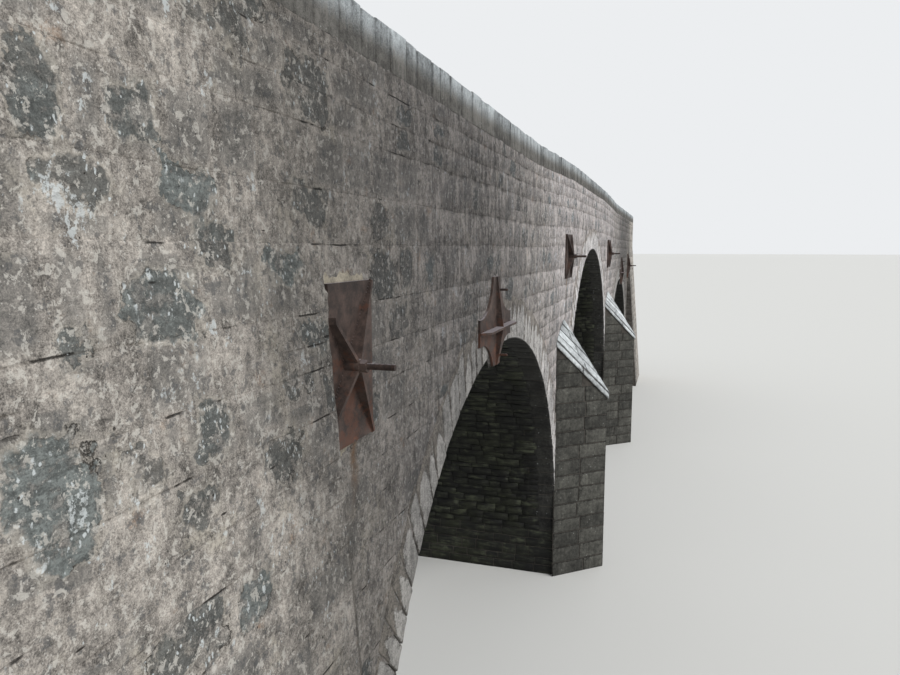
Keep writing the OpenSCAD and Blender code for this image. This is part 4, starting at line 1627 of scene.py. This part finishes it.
def cutwater_face(dice, length, falls):
    """One flank, whose top falls to the nose."""
    def limit(u):
        share = np.clip(u / length, 0, 1)
        share = share if falls else 1 - share
        return SHOULDER_Z + (NOSE_Z - SHOULDER_Z) * share - 0.01

    spread = 0.009
    area = (0.0 if falls else -spread, length + (spread if falls else 0.0), 0.0, SHOULDER_Z)
    sizes = SCENE.bridge_stones
    stones = lay_courses(dice, area, (0.24, 0.3), (sizes.block_short, sizes.block_long), 0.0)
    stones = without(stones, lambda u, z: z > limit(u) - 0.02)
    own = {
        "Edge radius": 0.014, "Waviness": 0.006, "Own waviness": 0.004, "Unevenness": 0.0,
        "Own unevenness": 0.007, "Bedding": 0.008}
    piece = set_stones("flank", dice, stones, "ashlar", (9, 7), (0.007, 0.012), 0.011, 0.0, **own)
    return lower_tops(piece, limit)


def cap_slabs(name, dice, middle, turn):
    k = 1 + 0.035 / CUTWATER_HALF
    peak_z = CUTWATER_HIGH.z + CAP_T
    shoulder = SHOULDER_Z + (CUTWATER_HIGH.z - SHOULDER_Z) * (1 - k) + CAP_T
    nose = CUTWATER_HIGH.z - (CUTWATER_HIGH.z - NOSE_Z) * k + CAP_T
    left = (middle - CUTWATER_HALF * k, -FACE_Y, shoulder)
    tip = (middle, -FACE_Y - NOSE_OUT * k, nose)
    right = (middle + CUTWATER_HALF * k, -FACE_Y, shoulder)
    apex = (middle, -FACE_Y, peak_z)
    own = {
        "Edge radius": 0.016, "Waviness": 0.008, "Own waviness": 0.005, "Unevenness": 0.0,
        "Own unevenness": 0.008, "Bedding": 0.006}
    parts = []
    for start, end in ((left, tip), (tip, right)):
        rule, length, tall = slope_rule(start, end, apex)
        stones = lay_courses(dice, (0.0, length, 0.0, tall * 0.98), (0.17, 0.24), (0.5, 0.9), 0.0)
        top = set_stones("cap", dice, stones, "cap", (9, 7), (0.014, 0.024), 0.012, 0.0, **own)
        parts.append(bend(top, turn(rule)))
        side, run = leaning_rule(start[:2], end[:2])
        stones = lay_courses(dice, (0.0, run, 0.0, CAP_T), (CAP_T, CAP_T), (0.5, 0.9), 0.0)
        eave = set_stones("eave", dice, stones, "cap", (9, 5), (0.008, 0.014), 0.006, 0.0, **own)

        def follow(u, v, w, side=side, start=start, end=end, run=run):
            x, y, z = side(u, v, w)
            return x, y, z + start[2] - CAP_T + (end[2] - start[2]) * u / run
        parts.append(bend(eave, turn(follow)))
    return join_meshes(name, *parts)


def on_wall(piece, end, face, x, z):
    """Carries a piece drawn flat, with Z out of the wall and Y up, onto a face beside one end."""
    across, up, out = places_of(piece.data).T
    set_places(piece.data, grid_points(end * (x - across), face * (FACE_Y + out), z + up))
    if end != face:
        piece.data.flip_normals()
    return piece


def at_corners(piece, x, z):
    """Four copies of a piece that is drawn flat, one on each face beside each end."""
    copies = [on_wall(new_object(piece.name, piece.data.copy()), end, face, x, z) for end, face in CORNERS]
    drop(piece)
    return copies


def beyond_box(u, v, left, right, low, high):
    """How far a flat place lies outside a box, negative inside it."""
    return np.maximum(np.maximum(left - u, u - right), np.maximum(low - v, v - high))


def beyond_cross(u, v):
    """How far a flat place lies outside a cross plate, whose corners are hollowed."""
    half = CROSS_PLATE[2] / 2
    away = beyond_box(u, v, -half, half, -CROSS_DOWN, CROSS_UP)
    hollows = (
        ((CROSS_ARM, CROSS_UP), (half, CROSS_ARM)),
        ((half, -CROSS_ARM), (CROSS_ARM, -CROSS_DOWN)),
    )
    for start, end in hollows:
        way = np.subtract(end, start)
        length = np.hypot(*way)
        offset = math.sqrt(HOLLOW_R**2 - length**2 / 4)
        middle = np.add(start, end) / 2 + np.array([-way[1], way[0]]) / length * offset
        away = np.maximum(away, HOLLOW_R - np.hypot(np.abs(u) - middle[0], v - middle[1]))
    return away


def lumps(dice, u, v, size):
    """Soft random hills between about -1 and 1."""
    total = np.zeros_like(u)
    for _ in range(10):
        turn, start = dice.uniform(0, 2 * math.pi), dice.uniform(0, 2 * math.pi)
        scale = dice.uniform(0.7, 1.5)
        total += np.cos((u * math.cos(turn) + v * math.sin(turn)) * 2 * math.pi / size / scale + start)
    return total / 4.5


def patch_solid(name, u, v, out, back):
    """A closed sheet over the cells of a grid where it rises above its feathered edge."""
    rows, columns = u.shape
    high = out > back + 0.0045
    cells = high[:-1, :-1] | high[1:, :-1] | high[:-1, 1:] | high[1:, 1:]
    size = rows * columns
    faces = []
    sides = {}
    for j, i in zip(*np.nonzero(cells)):
        a = j * columns + i
        loop = (a, a + 1, a + columns + 1, a + columns)
        faces.append(loop)
        faces.append(tuple(k + size for k in reversed(loop)))
        for start, end in zip(loop, loop[1:] + loop[:1]):
            if (end, start) in sides:
                del sides[end, start]
            else:
                sides[start, end] = True
    faces += [(start, start + size, end + size, end) for start, end in sides]
    points = np.concatenate([grid_points(u, v, out), grid_points(u, v, np.full_like(out, back))])
    used = np.unique([k for face in faces for k in face])
    place = np.zeros(len(points), int)
    place[used] = np.arange(len(used))
    mesh = new_mesh(name, points[used], [tuple(int(place[k]) for k in face) for face in faces])
    mesh.shade_smooth()
    return mesh


def mortar_bed(dice, step, area, beyond, void=None, plate=None):
    """Mortar under a plate, feathered out round it. void says where no wall is, plate is a built-in box."""
    left, right, low, high = area
    us = np.linspace(left, right, round((right - left) / step) + 1)
    vs = np.linspace(low, high, round((high - low) / step / 1.3) + 1)
    u, v = np.meshgrid(us, vs)
    back = -0.016
    away = beyond(u, v)
    reach = SCENE.bridge_iron.mortar_reach + 0.022 * lumps(dice, u, v, 0.22)
    if plate:
        reach = reach + 0.05 * np.clip(v / high, 0, 1)
        reach = reach + 0.24 * np.clip(1 - (u - plate[0]) / 0.36, 0, 1) * (v < 0) * (u > plate[0] - 0.03)
    reach = np.clip(reach, 0.012, 0.3)
    out = BED_T - 0.001 + np.clip(away / 0.02, 0, 1) * (0.004 + 0.005 * lumps(dice, u, v, 0.07))
    out = out - np.maximum(away, 0.0) / reach * 0.028
    if plate:
        lap, plate_right, plate_low, plate_high = plate
        edge = lap + 0.012 + 0.01 * lumps(dice, u * 0.0, v, 0.16)
        cover = np.clip((edge - u) / 0.014, 0, 1) * np.clip((u - lap + 0.11) / 0.09, 0, 1)
        cover = cover * np.clip(-beyond_box(u, v, left, plate_right, plate_low, plate_high) / 0.05, 0, 1)
        out = np.maximum(out, (BED_T + PLATE_T + 0.005 + 0.004 * lumps(dice, u, v, 0.09)) * cover)
    if void is not None:
        out = np.where(void(u, v) & (away > 0.0), back, out)
    mesh = patch_solid("bed", u, v, np.maximum(out, back + 0.004), back)
    mesh.materials.append(FINISHES["wall"])
    mesh.materials.append(FINISHES["bed"])
    if plate:
        middles = [(face, face.center) for face in mesh.polygons]
        for face, at in middles:
            wave = 0.008 * math.sin(at.x * 37.0) + 0.006 * math.sin(at.x * 91.0 + at.y * 40.0)
            above = plate_high - 0.02 < at.y < plate_high + 0.07 + wave and at.x < plate_right - 0.07
            foot = plate_low - 0.105 + (at.x - lap) * 0.26 + wave
            below = foot < at.y < plate_low + 0.02 and at.x < lap + 0.34
            face.material_index = int(above or below)
    return new_object("bed", mesh)


def corner_beds(seed, step, x, z, *shape):
    """A mortar bed on each face beside each end, the first in finer steps because it is the nearest."""
    beds = []
    for number, (end, face) in enumerate(CORNERS):
        bed = mortar_bed(new_dice(seed + number), 0.026 if number else step, *shape)
        beds.append(on_wall(bed, end, face, x, z))
    return beds


def plate_mortar():
    """The mortar beds of the tie plates, smeared out over the stones round them."""
    parts = []
    plates = ((101, 0.012, END_PLATE, END_HIDDEN), (111, 0.026, PIER_PLATE, 0.0))
    for seed, step, (x, z, wide, high), hidden in plates:
        left, right, low, top = box = hidden - wide / 2, wide / 2, -high / 2, high / 2

        def beyond(u, v, box=box):
            return beyond_box(u, v, *box)

        area = (left - 0.16, right + 0.12, low - 0.14, top + 0.16)
        parts += corner_beds(seed, step, x, z, area, beyond, None, box if hidden else None)
    x, z, wide, _ = CROSS_PLATE

    def over_opening(u, v):
        return np.hypot(x - u - SIDE_X, z + v - SIDE_SPRING) < SIDE_R + 0.01

    area = (-wide / 2 - 0.08, wide / 2 + 0.08, -CROSS_DOWN - 0.02, CROSS_UP + 0.1)
    parts += corner_beds(121, 0.016, x, z, area, beyond_cross, over_opening)
    dress(join_meshes("plate_mortar", *parts), "mortar", "plate_bedding")


def pebble_base(name, flatness, seed):
    """A small lump of twenty faces and about one unit across."""
    shape = bmesh.new()
    bmesh.ops.create_icosphere(shape, subdivisions=1, radius=0.5)
    dice = new_dice(seed)
    for vertex in shape.verts:
        vertex.co *= dice.uniform(0.78, 1.1)
        vertex.co.z *= flatness
    mesh = bpy.data.meshes.new(name)
    shape.to_mesh(mesh)
    shape.free()
    return new_object(name, mesh)


def line_mesh(name, lines):
    points = [point for line in lines for point in line]
    mesh = bpy.data.meshes.new(name)
    mesh.from_pydata(points, [(2 * i, 2 * i + 1) for i in range(len(lines))], [])
    return mesh


def rib_lines(start, end, out):
    """The two lines along the foot of a rib."""
    way = np.subtract(end, start) / np.linalg.norm(np.subtract(end, start))
    side = np.array([-way[1], way[0]]) * (PLATE_T / 2 + 0.002)
    return [((*np.add(start, side * s), out), (*np.add(end, side * s), out)) for s in (-1, 1)]


def weld_beads():
    """Beads of weld along the feet of the plates' ribs."""
    bead = pebble_base("bead", 0.8, 5)
    surface = BED_T + PLATE_T
    sizes = SCENE.bridge_iron
    common = {
        "Bead": bead, "Spacing": sizes.bead_large, "Smallest": sizes.bead_small,
        "Largest": sizes.bead_large, "Finish": FINISHES["rust"],
    }

    def weld(seed, lines, x, z):
        beads = grow("weld", line_mesh("weld", lines), TREES["welds"], {**common, "Seed": seed})
        return at_corners(beads, x, z)

    parts = []
    for seed, ((x, z, wide, high), hidden) in enumerate(((END_PLATE, END_HIDDEN), (PIER_PLATE, 0.0))):
        lines = []
        length = math.hypot(wide, high) / 2
        for side, up in CORNERS:
            way = np.array([side * wide / 2, up * high / 2]) / length
            reach = length - 0.01
            if side < 0:
                reach = min(reach, (wide / 2 - hidden - 0.01) / -way[0])
            lines += rib_lines(way * BOSS_R, way * reach, surface)
        parts += weld(seed, lines, x, z)
    x, z, wide, _ = CROSS_PLATE
    half = wide / 2 - 0.01
    lines = rib_lines((0.0, 0.0), (0.0, CROSS_UP - 0.01), surface)
    lines += rib_lines((0.0, -CROSS_DOWN + 0.01), (0.0, 0.0), surface)
    lines += rib_lines((-half, 0.0), (half, 0.0), surface)
    parts += weld(9, lines, x, z)
    drop(bead)
    dress(join_meshes("weld_beads", *parts), "rusted_iron")


def nut_mesh(wide, tall, bore, out):
    """A hexagon nut with its corners turned off at both ends, bored through."""
    count = 24
    angles = np.arange(count) * 2 * math.pi / count
    hexagon = wide / 2 / np.cos((angles + math.pi / 6) % (math.pi / 3) - math.pi / 6)
    turned_off = np.minimum(hexagon, wide / 2 * 1.03)
    chamfer = tall * 0.14
    hole = np.full(count, bore / 2)
    rings = (
        (hole, 0.0), (turned_off, 0.0), (hexagon, chamfer), (hexagon, tall - chamfer), (turned_off, tall),
        (hole + chamfer * 0.5, tall), (hole, tall - chamfer),
    )
    points = [
        (r * math.cos(a), r * math.sin(a), out + z) for radii, z in rings for r, a in zip(radii, angles)]
    faces = []
    for ring in range(len(rings)):
        after = (ring + 1) % len(rings)
        for i in range(count):
            j = (i + 1) % count
            faces.append((ring * count + i, ring * count + j, after * count + j, after * count + i))
    return new_mesh("nut", points, faces)


def tie_rod_ends():
    """The nuts and the screw threads at the ends of the tie rods."""
    nuts = []
    threads = []
    spots_on_plates = [(END_PLATE, 0.0, 0.0, ROD), (PIER_PLATE, 0.0, 0.0, ROD)]
    spots_on_plates += [(CROSS_PLATE, u, v, CROSS_ROD) for u, v in CROSS_RODS]
    for plate, u, v, (thick, reach, nut_w, nut_h) in spots_on_plates:
        seat = BED_T + PLATE_T + (RIB_H if thick == ROD[0] else 0.0)
        nut = new_object("nut", nut_mesh(nut_w, nut_h, thick, seat))
        nut.data.materials.append(FINISHES["rust"])
        length = min(SCENE.bridge_iron.thread_length, reach - seat - nut_h - 0.01)
        pitch = thick * 0.11
        values = {"Radius": thick / 2, "Length": length, "Pitch": pitch, "Finish": FINISHES["rust"]}
        thread = grow("thread", bpy.data.meshes.new("start"), TREES["threads"], values)
        shift(thread, 0.0, 0.0, reach - length - 0.004)
        nuts += at_corners(shift(nut, u, v, 0.0), *plate[:2])
        threads += at_corners(shift(thread, u, v, 0.0), *plate[:2])
    dress(join_meshes("tie_nuts", *nuts), "rusted_iron", "tie_rod_nuts")
    dress(join_meshes("rod_threads", *threads), "rusted_iron")


def road_gravel():
    """The rolled gravel of the road, with its two wheel tracks, and the loose stones on it."""
    heights = END_ROAD_LOW.z, ROAD_TOP - 0.004
    road = strip_solid("road_gravel", -ROAD_Y, ROAD_Y, *heights, (281, 33), "gravel", 0.004, 131)
    road.data.shade_smooth()
    dress(road, "gravel", "road_surface_west", "road_surface_middle", "road_surface_east")
    x, y = strip_grid(STREWN_IN - ROAD_Y, ROAD_Y - STREWN_IN, (121, 9), STREWN_IN)
    ground = new_mesh("ground", grid_points(x, y, ROAD_TOP - 0.002 + rise_at(x)), grid_faces(121, 9))
    pebble = pebble_base("pebble", 0.6, 6)
    sizes = SCENE.bridge_road
    values = {
        "Pebble": pebble, "Density": sizes.stones, "Smallest": sizes.stone_small,
        "Largest": sizes.stone_large, "Seed": 4, "Finish": FINISHES["gravel"],
    }
    stones = grow("loose_stones", ground, TREES["pebbles"], values)
    drop(pebble)
    dress(stones, "gravel")


def coat_frame():
    """Finishes for the frame's own solids."""
    kinds = (
        ("saltire", "rust"), ("cross", "rust"), ("tie_rod", "rust"), ("plate_bedding", "bed"),
        ("road", "gravel"), ("arch_barrel", "damp_and_shade"), ("spandrel", "wall"), ("wing_wall", "wall"),
        ("parapet", "wall"), ("", "joint"),
    )
    for name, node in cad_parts.items():
        finish = FINISHES[next(kind for start, kind in kinds if name.startswith(start))]
        if not node.material_slots:
            node.data.materials.append(finish)
        for place in node.material_slots:
            place.material = finish


# Stage: the camera's place, lens and sensor in metres and millimetres, and angles in degrees
EYE = (-18.1, -4.25, 6.2)
EYE_TILT, EYE_TURN = 82.794, -72.313
LENS, SENSOR = 28.0, 36.0
LAMP_TILT, LAMP_TURN, LAMP_SPREAD = 48, -24, 40
SKY = (0.94, 0.97, 1.0, 1.0)
FLOOR_R = 900


def make_camera():
    camera = bpy.data.objects.new("camera", bpy.data.cameras.new("camera"))
    camera.data.lens = LENS
    camera.data.sensor_width = SENSOR
    camera.data.sensor_fit = "HORIZONTAL"
    camera.data.clip_start = 0.05
    camera.data.clip_end = 2000.0
    camera.location = EYE
    camera.rotation_euler = (math.radians(EYE_TILT), 0.0, math.radians(EYE_TURN))
    SCENE.collection.objects.link(camera)
    SCENE.camera = camera


def make_light():
    stage = SCENE.bridge_stage
    SCENE.view_settings.view_transform = "Standard"
    world = bpy.data.worlds.new("studio")
    world.use_nodes = True
    world.node_tree.nodes.clear()
    web = Web(world.node_tree)
    path = web.add("ShaderNodeLightPath", out="Is Camera Ray")
    seen = path.most(web.other(path, "Is Glossy Ray")).most(web.other(path, "Is Transmission Ray"))
    soft = web.add("ShaderNodeBackground", inputs={"Color": SKY, "Strength": stage.soft_light})
    shown = web.add("ShaderNodeBackground", inputs={"Color": stage.background, "Strength": 1.0})
    mixed = web.add("ShaderNodeMixShader", inputs=[seen, soft, shown])
    web.add("ShaderNodeOutputWorld", inputs={"Surface": mixed})
    SCENE.world = world
    lamp = bpy.data.lights.new("key", "SUN")
    lamp.energy = stage.key_light
    lamp.angle = math.radians(LAMP_SPREAD)
    key = bpy.data.objects.new("key", lamp)
    key.rotation_euler = (math.radians(LAMP_TILT), 0.0, math.radians(LAMP_TURN))
    SCENE.collection.objects.link(key)


def make_floor():
    """A round floor, so wide that its edge is the horizon from every side."""
    turns = np.linspace(0, 2 * math.pi, 96, endpoint=False)
    points = [(FLOOR_R * math.cos(turn), FLOOR_R * math.sin(turn), 0.0) for turn in turns]
    mesh = new_mesh("floor", points, [tuple(range(len(points)))])
    floor = new_object("floor", mesh)
    web, _ = new_finish("pale_floor")
    sockets = {"Base Color": SCENE.bridge_stage.floor, "Roughness": 0.9}
    shader = web.add("ShaderNodeBsdfPrincipled", inputs=sockets)
    web.add("ShaderNodeOutputMaterial", inputs={"Surface": shader})
    mesh.materials.append(web.material)


def number(name, description, default, **limits):
    """A number that a user can change."""
    limits = {"min": 0.0, **limits}
    return bpy.props.FloatProperty(name=name, description=description, default=default, **limits)


def length(name, description, default):
    """A size that a user can change."""
    return number(name, description, default, min=0.001, unit="LENGTH")


def colour(name, description, *screen):
    """A colour that a user can change, given as it looks on a screen."""
    return bpy.props.FloatVectorProperty(
        name=name, description=description, default=tint(*screen), size=4, min=0.0, max=1.0, subtype="COLOR")


class StoneSizes(bpy.types.PropertyGroup):
    """Sizes of the stones."""

    course_low: length("Thinnest course", "Height of the thinnest course of rubble", 0.26)
    course_high: length("Thickest course", "Height of the thickest course of rubble", 0.34)
    stone_short: length("Shortest stone", "Length of the shortest stone in a course", 0.24)
    stone_long: length("Longest stone", "Length of the longest stone in a course", 0.62)
    arch_stone: length("Arch stone", "Mean thickness of the arch stones at the underside", 0.25)
    ring_stands_out: length("Ring stands out", "How far the arch stones stand out of the wall", 0.016)
    coping_slab: length("Coping slab", "Mean length of a coping slab", 0.3)
    coping_joint: length("Coping joint", "Width of the joints between coping slabs", 0.006)
    block_short: length("Shortest block", "Length of the shortest block of the cutwaters", 0.42)
    block_long: length("Longest block", "Length of the longest block of the cutwaters", 0.72)
    bare_share: number(
        "Bare stones", "Share of the wall's stones that the mortar leaves bare", 0.2, max=1.0,
        subtype="FACTOR")


class IronSizes(bpy.types.PropertyGroup):
    """Sizes of what belongs to the tie plates."""

    bead_small: length("Smallest bead", "Width of the smallest bead of weld", 0.015)
    bead_large: length("Largest bead", "Width of the largest bead of weld", 0.021)
    thread_length: length("Thread", "Length of the screw thread at the end of a tie rod", 0.14)
    mortar_reach: length("Mortar reach", "How far the mortar is smeared beyond a plate", 0.04)


class RoadSizes(bpy.types.PropertyGroup):
    """Sizes of the road's gravel."""

    track_depth: length("Wheel track", "Depth of the two wheel tracks", 0.016)
    stones: number("Loose stones", "Number of loose stones on a square metre", 40.0)
    stone_small: length("Smallest stone", "Width of the smallest loose stone", 0.012)
    stone_large: length("Largest stone", "Width of the largest loose stone", 0.042)


class FinishColours(bpy.types.PropertyGroup):
    """Colours of the finishes."""

    wall_mortar: colour("Wall mortar", "Mortar that is smeared over the rubble", 165, 158, 150)
    bare_stone: colour("Bare stone", "Stones that show through the mortar", 98, 102, 100)
    arch_stone: colour("Arch stone", "Dressed stones of the arch rings", 204, 200, 193)
    # Darker than the stone: partly painted shade on the cutwaters.
    cutwater_stone: colour("Cutwater stone", "Squared blocks of the cutwaters", 76, 75, 70)
    coping_stone: colour("Coping stone", "Upright slabs on the parapets", 162, 167, 169)
    cap_stone: colour("Cap stone", "Sloping slabs on the cutwaters", 198, 202, 203)
    # Darker than wet stone alone: partly painted shade under the arches.
    underside: colour("Underside", "Damp rubble under the arches", 42, 44, 35)
    joint_mortar: colour("Joint mortar", "Mortar between the dressed stones", 92, 87, 78)
    plate_mortar: colour("Plate mortar", "Pale mortar above and below the end plates", 196, 186, 167)
    rust: colour("Rust", "Old rust on the iron", 66, 54, 49)
    fresh_rust: colour("Fresh rust", "Browner rust in patches", 84, 52, 38)
    gravel: colour("Gravel", "Gravel of the road", 158, 148, 132)


class StageSettings(bpy.types.PropertyGroup):
    """Floor, background and light."""

    floor: colour("Floor", "Colour of the floor", 214, 213, 209)
    background: colour("Background", "Colour of the background", 236, 238, 240)
    soft_light: number("Soft light", "Strength of the light from all sides", 0.68)
    key_light: number("Key light", "Strength of the soft lamp overhead", 2.0)


class MixFinishes(bpy.types.Operator):
    """Make the finishes and the node trees that the other steps use."""

    bl_idname = "bridge.mix_finishes"
    bl_label = "Mix finishes"

    def execute(self, context):
        make_finishes()
        make_trees()
        return {"FINISHED"}


class LayLongFaces(bpy.types.Operator):
    """Lay the facing stones of the two long faces, with their spandrels and parapets."""

    bl_idname = "bridge.lay_long_faces"
    bl_label = "Lay long faces"

    def execute(self, context):
        wall_stones()
        return {"FINISHED"}


class LayWingWalls(bpy.types.Operator):
    """Lay the facing stones of the battered wing walls."""

    bl_idname = "bridge.lay_wing_walls"
    bl_label = "Lay wing walls"

    def execute(self, context):
        wing_stones()
        return {"FINISHED"}


class LayEnds(bpy.types.Operator):
    """Lay the facing stones of the two ends, the parapets' insides and the wing walls' returns."""

    bl_idname = "bridge.lay_ends"
    bl_label = "Lay ends and insides"

    def execute(self, context):
        end_faces()
        parapet_insides()
        wing_returns()
        return {"FINISHED"}


class LineArches(bpy.types.Operator):
    """Line the undersides of the arches and the upright faces below them."""

    bl_idname = "bridge.line_arches"
    bl_label = "Line arches"

    def execute(self, context):
        soffit_stones()
        return {"FINISHED"}


class SetArchRings(bpy.types.Operator):
    """Set the dressed stones of the arch rings."""

    bl_idname = "bridge.set_arch_rings"
    bl_label = "Set arch rings"

    def execute(self, context):
        arch_stones()
        return {"FINISHED"}


class SetCopings(bpy.types.Operator):
    """Set the upright slabs on both parapets."""

    bl_idname = "bridge.set_copings"
    bl_label = "Set copings"

    def execute(self, context):
        coping_slabs()
        return {"FINISHED"}


class FaceCutwaters(bpy.types.Operator):
    """Face the four cutwaters with squared blocks and cap them with slabs."""

    bl_idname = "bridge.face_cutwaters"
    bl_label = "Face cutwaters"

    def execute(self, context):
        cutwater_stones()
        return {"FINISHED"}


class BedPlates(bpy.types.Operator):
    """Bed the tie plates in mortar."""

    bl_idname = "bridge.bed_plates"
    bl_label = "Bed tie plates"

    def execute(self, context):
        plate_mortar()
        return {"FINISHED"}


class WeldPlates(bpy.types.Operator):
    """Weld the ribs to the tie plates."""

    bl_idname = "bridge.weld_plates"
    bl_label = "Weld tie plates"

    def execute(self, context):
        weld_beads()
        return {"FINISHED"}


class FitTieRods(bpy.types.Operator):
    """Cut the threads of the tie rods and fit their nuts."""

    bl_idname = "bridge.fit_tie_rods"
    bl_label = "Fit tie rods"

    def execute(self, context):
        tie_rod_ends()
        return {"FINISHED"}


class SpreadGravel(bpy.types.Operator):
    """Spread the road's gravel and its loose stones."""

    bl_idname = "bridge.spread_gravel"
    bl_label = "Spread gravel"

    def execute(self, context):
        road_gravel()
        return {"FINISHED"}


class CoatFrame(bpy.types.Operator):
    """Give the frame's own solids their finishes."""

    bl_idname = "bridge.coat_frame"
    bl_label = "Coat frame"

    def execute(self, context):
        coat_frame()
        return {"FINISHED"}


class BuildStage(bpy.types.Operator):
    """Set up the floor, the light and the camera."""

    bl_idname = "bridge.build_stage"
    bl_label = "Build stage"

    def execute(self, context):
        make_camera()
        make_light()
        make_floor()
        return {"FINISHED"}


GROUPS = (
    ("bridge_stones", "Stones", StoneSizes), ("bridge_iron", "Iron", IronSizes),
    ("bridge_road", "Road", RoadSizes), ("bridge_colours", "Colours", FinishColours),
    ("bridge_stage", "Stage", StageSettings),
)
STEPS = (
    MixFinishes, LayLongFaces, LayWingWalls, LayEnds, LineArches, SetArchRings, SetCopings, FaceCutwaters,
    BedPlates, WeldPlates, FitTieRods, SpreadGravel, CoatFrame, BuildStage,
)


class BridgePanel(bpy.types.Panel):
    """The bridge's sizes, colours and steps."""

    bl_idname = "BRIDGE_PT_bridge"
    bl_label = "Stone Arch Bridge"
    bl_space_type = "VIEW_3D"
    bl_region_type = "UI"
    bl_category = "Bridge"

    def draw(self, context):
        for holder, title, kind in GROUPS:
            box = self.layout.box()
            box.label(text=title)
            for name in kind.__annotations__:
                box.prop(getattr(context.scene, holder), name)
        for step in STEPS:
            self.layout.operator(step.bl_idname)


def register():
    for holder, _, kind in GROUPS:
        bpy.utils.register_class(kind)
        setattr(bpy.types.Scene, holder, bpy.props.PointerProperty(type=kind))
    for kind in (*STEPS, BridgePanel):
        bpy.utils.register_class(kind)


def unregister():
    for kind in (BridgePanel, *reversed(STEPS)):
        bpy.utils.unregister_class(kind)
    for holder, _, kind in reversed(GROUPS):
        delattr(bpy.types.Scene, holder)
        bpy.utils.unregister_class(kind)


def main():
    register()
    bpy.ops.bridge.mix_finishes()
    bpy.ops.bridge.lay_long_faces()
    bpy.ops.bridge.lay_wing_walls()
    bpy.ops.bridge.lay_ends()
    bpy.ops.bridge.line_arches()
    bpy.ops.bridge.set_arch_rings()
    bpy.ops.bridge.set_copings()
    bpy.ops.bridge.face_cutwaters()
    bpy.ops.bridge.bed_plates()
    bpy.ops.bridge.weld_plates()
    bpy.ops.bridge.fit_tie_rods()
    bpy.ops.bridge.spread_gravel()
    bpy.ops.bridge.coat_frame()
    bpy.ops.bridge.build_stage()


if __name__ == "__main__":
    main()
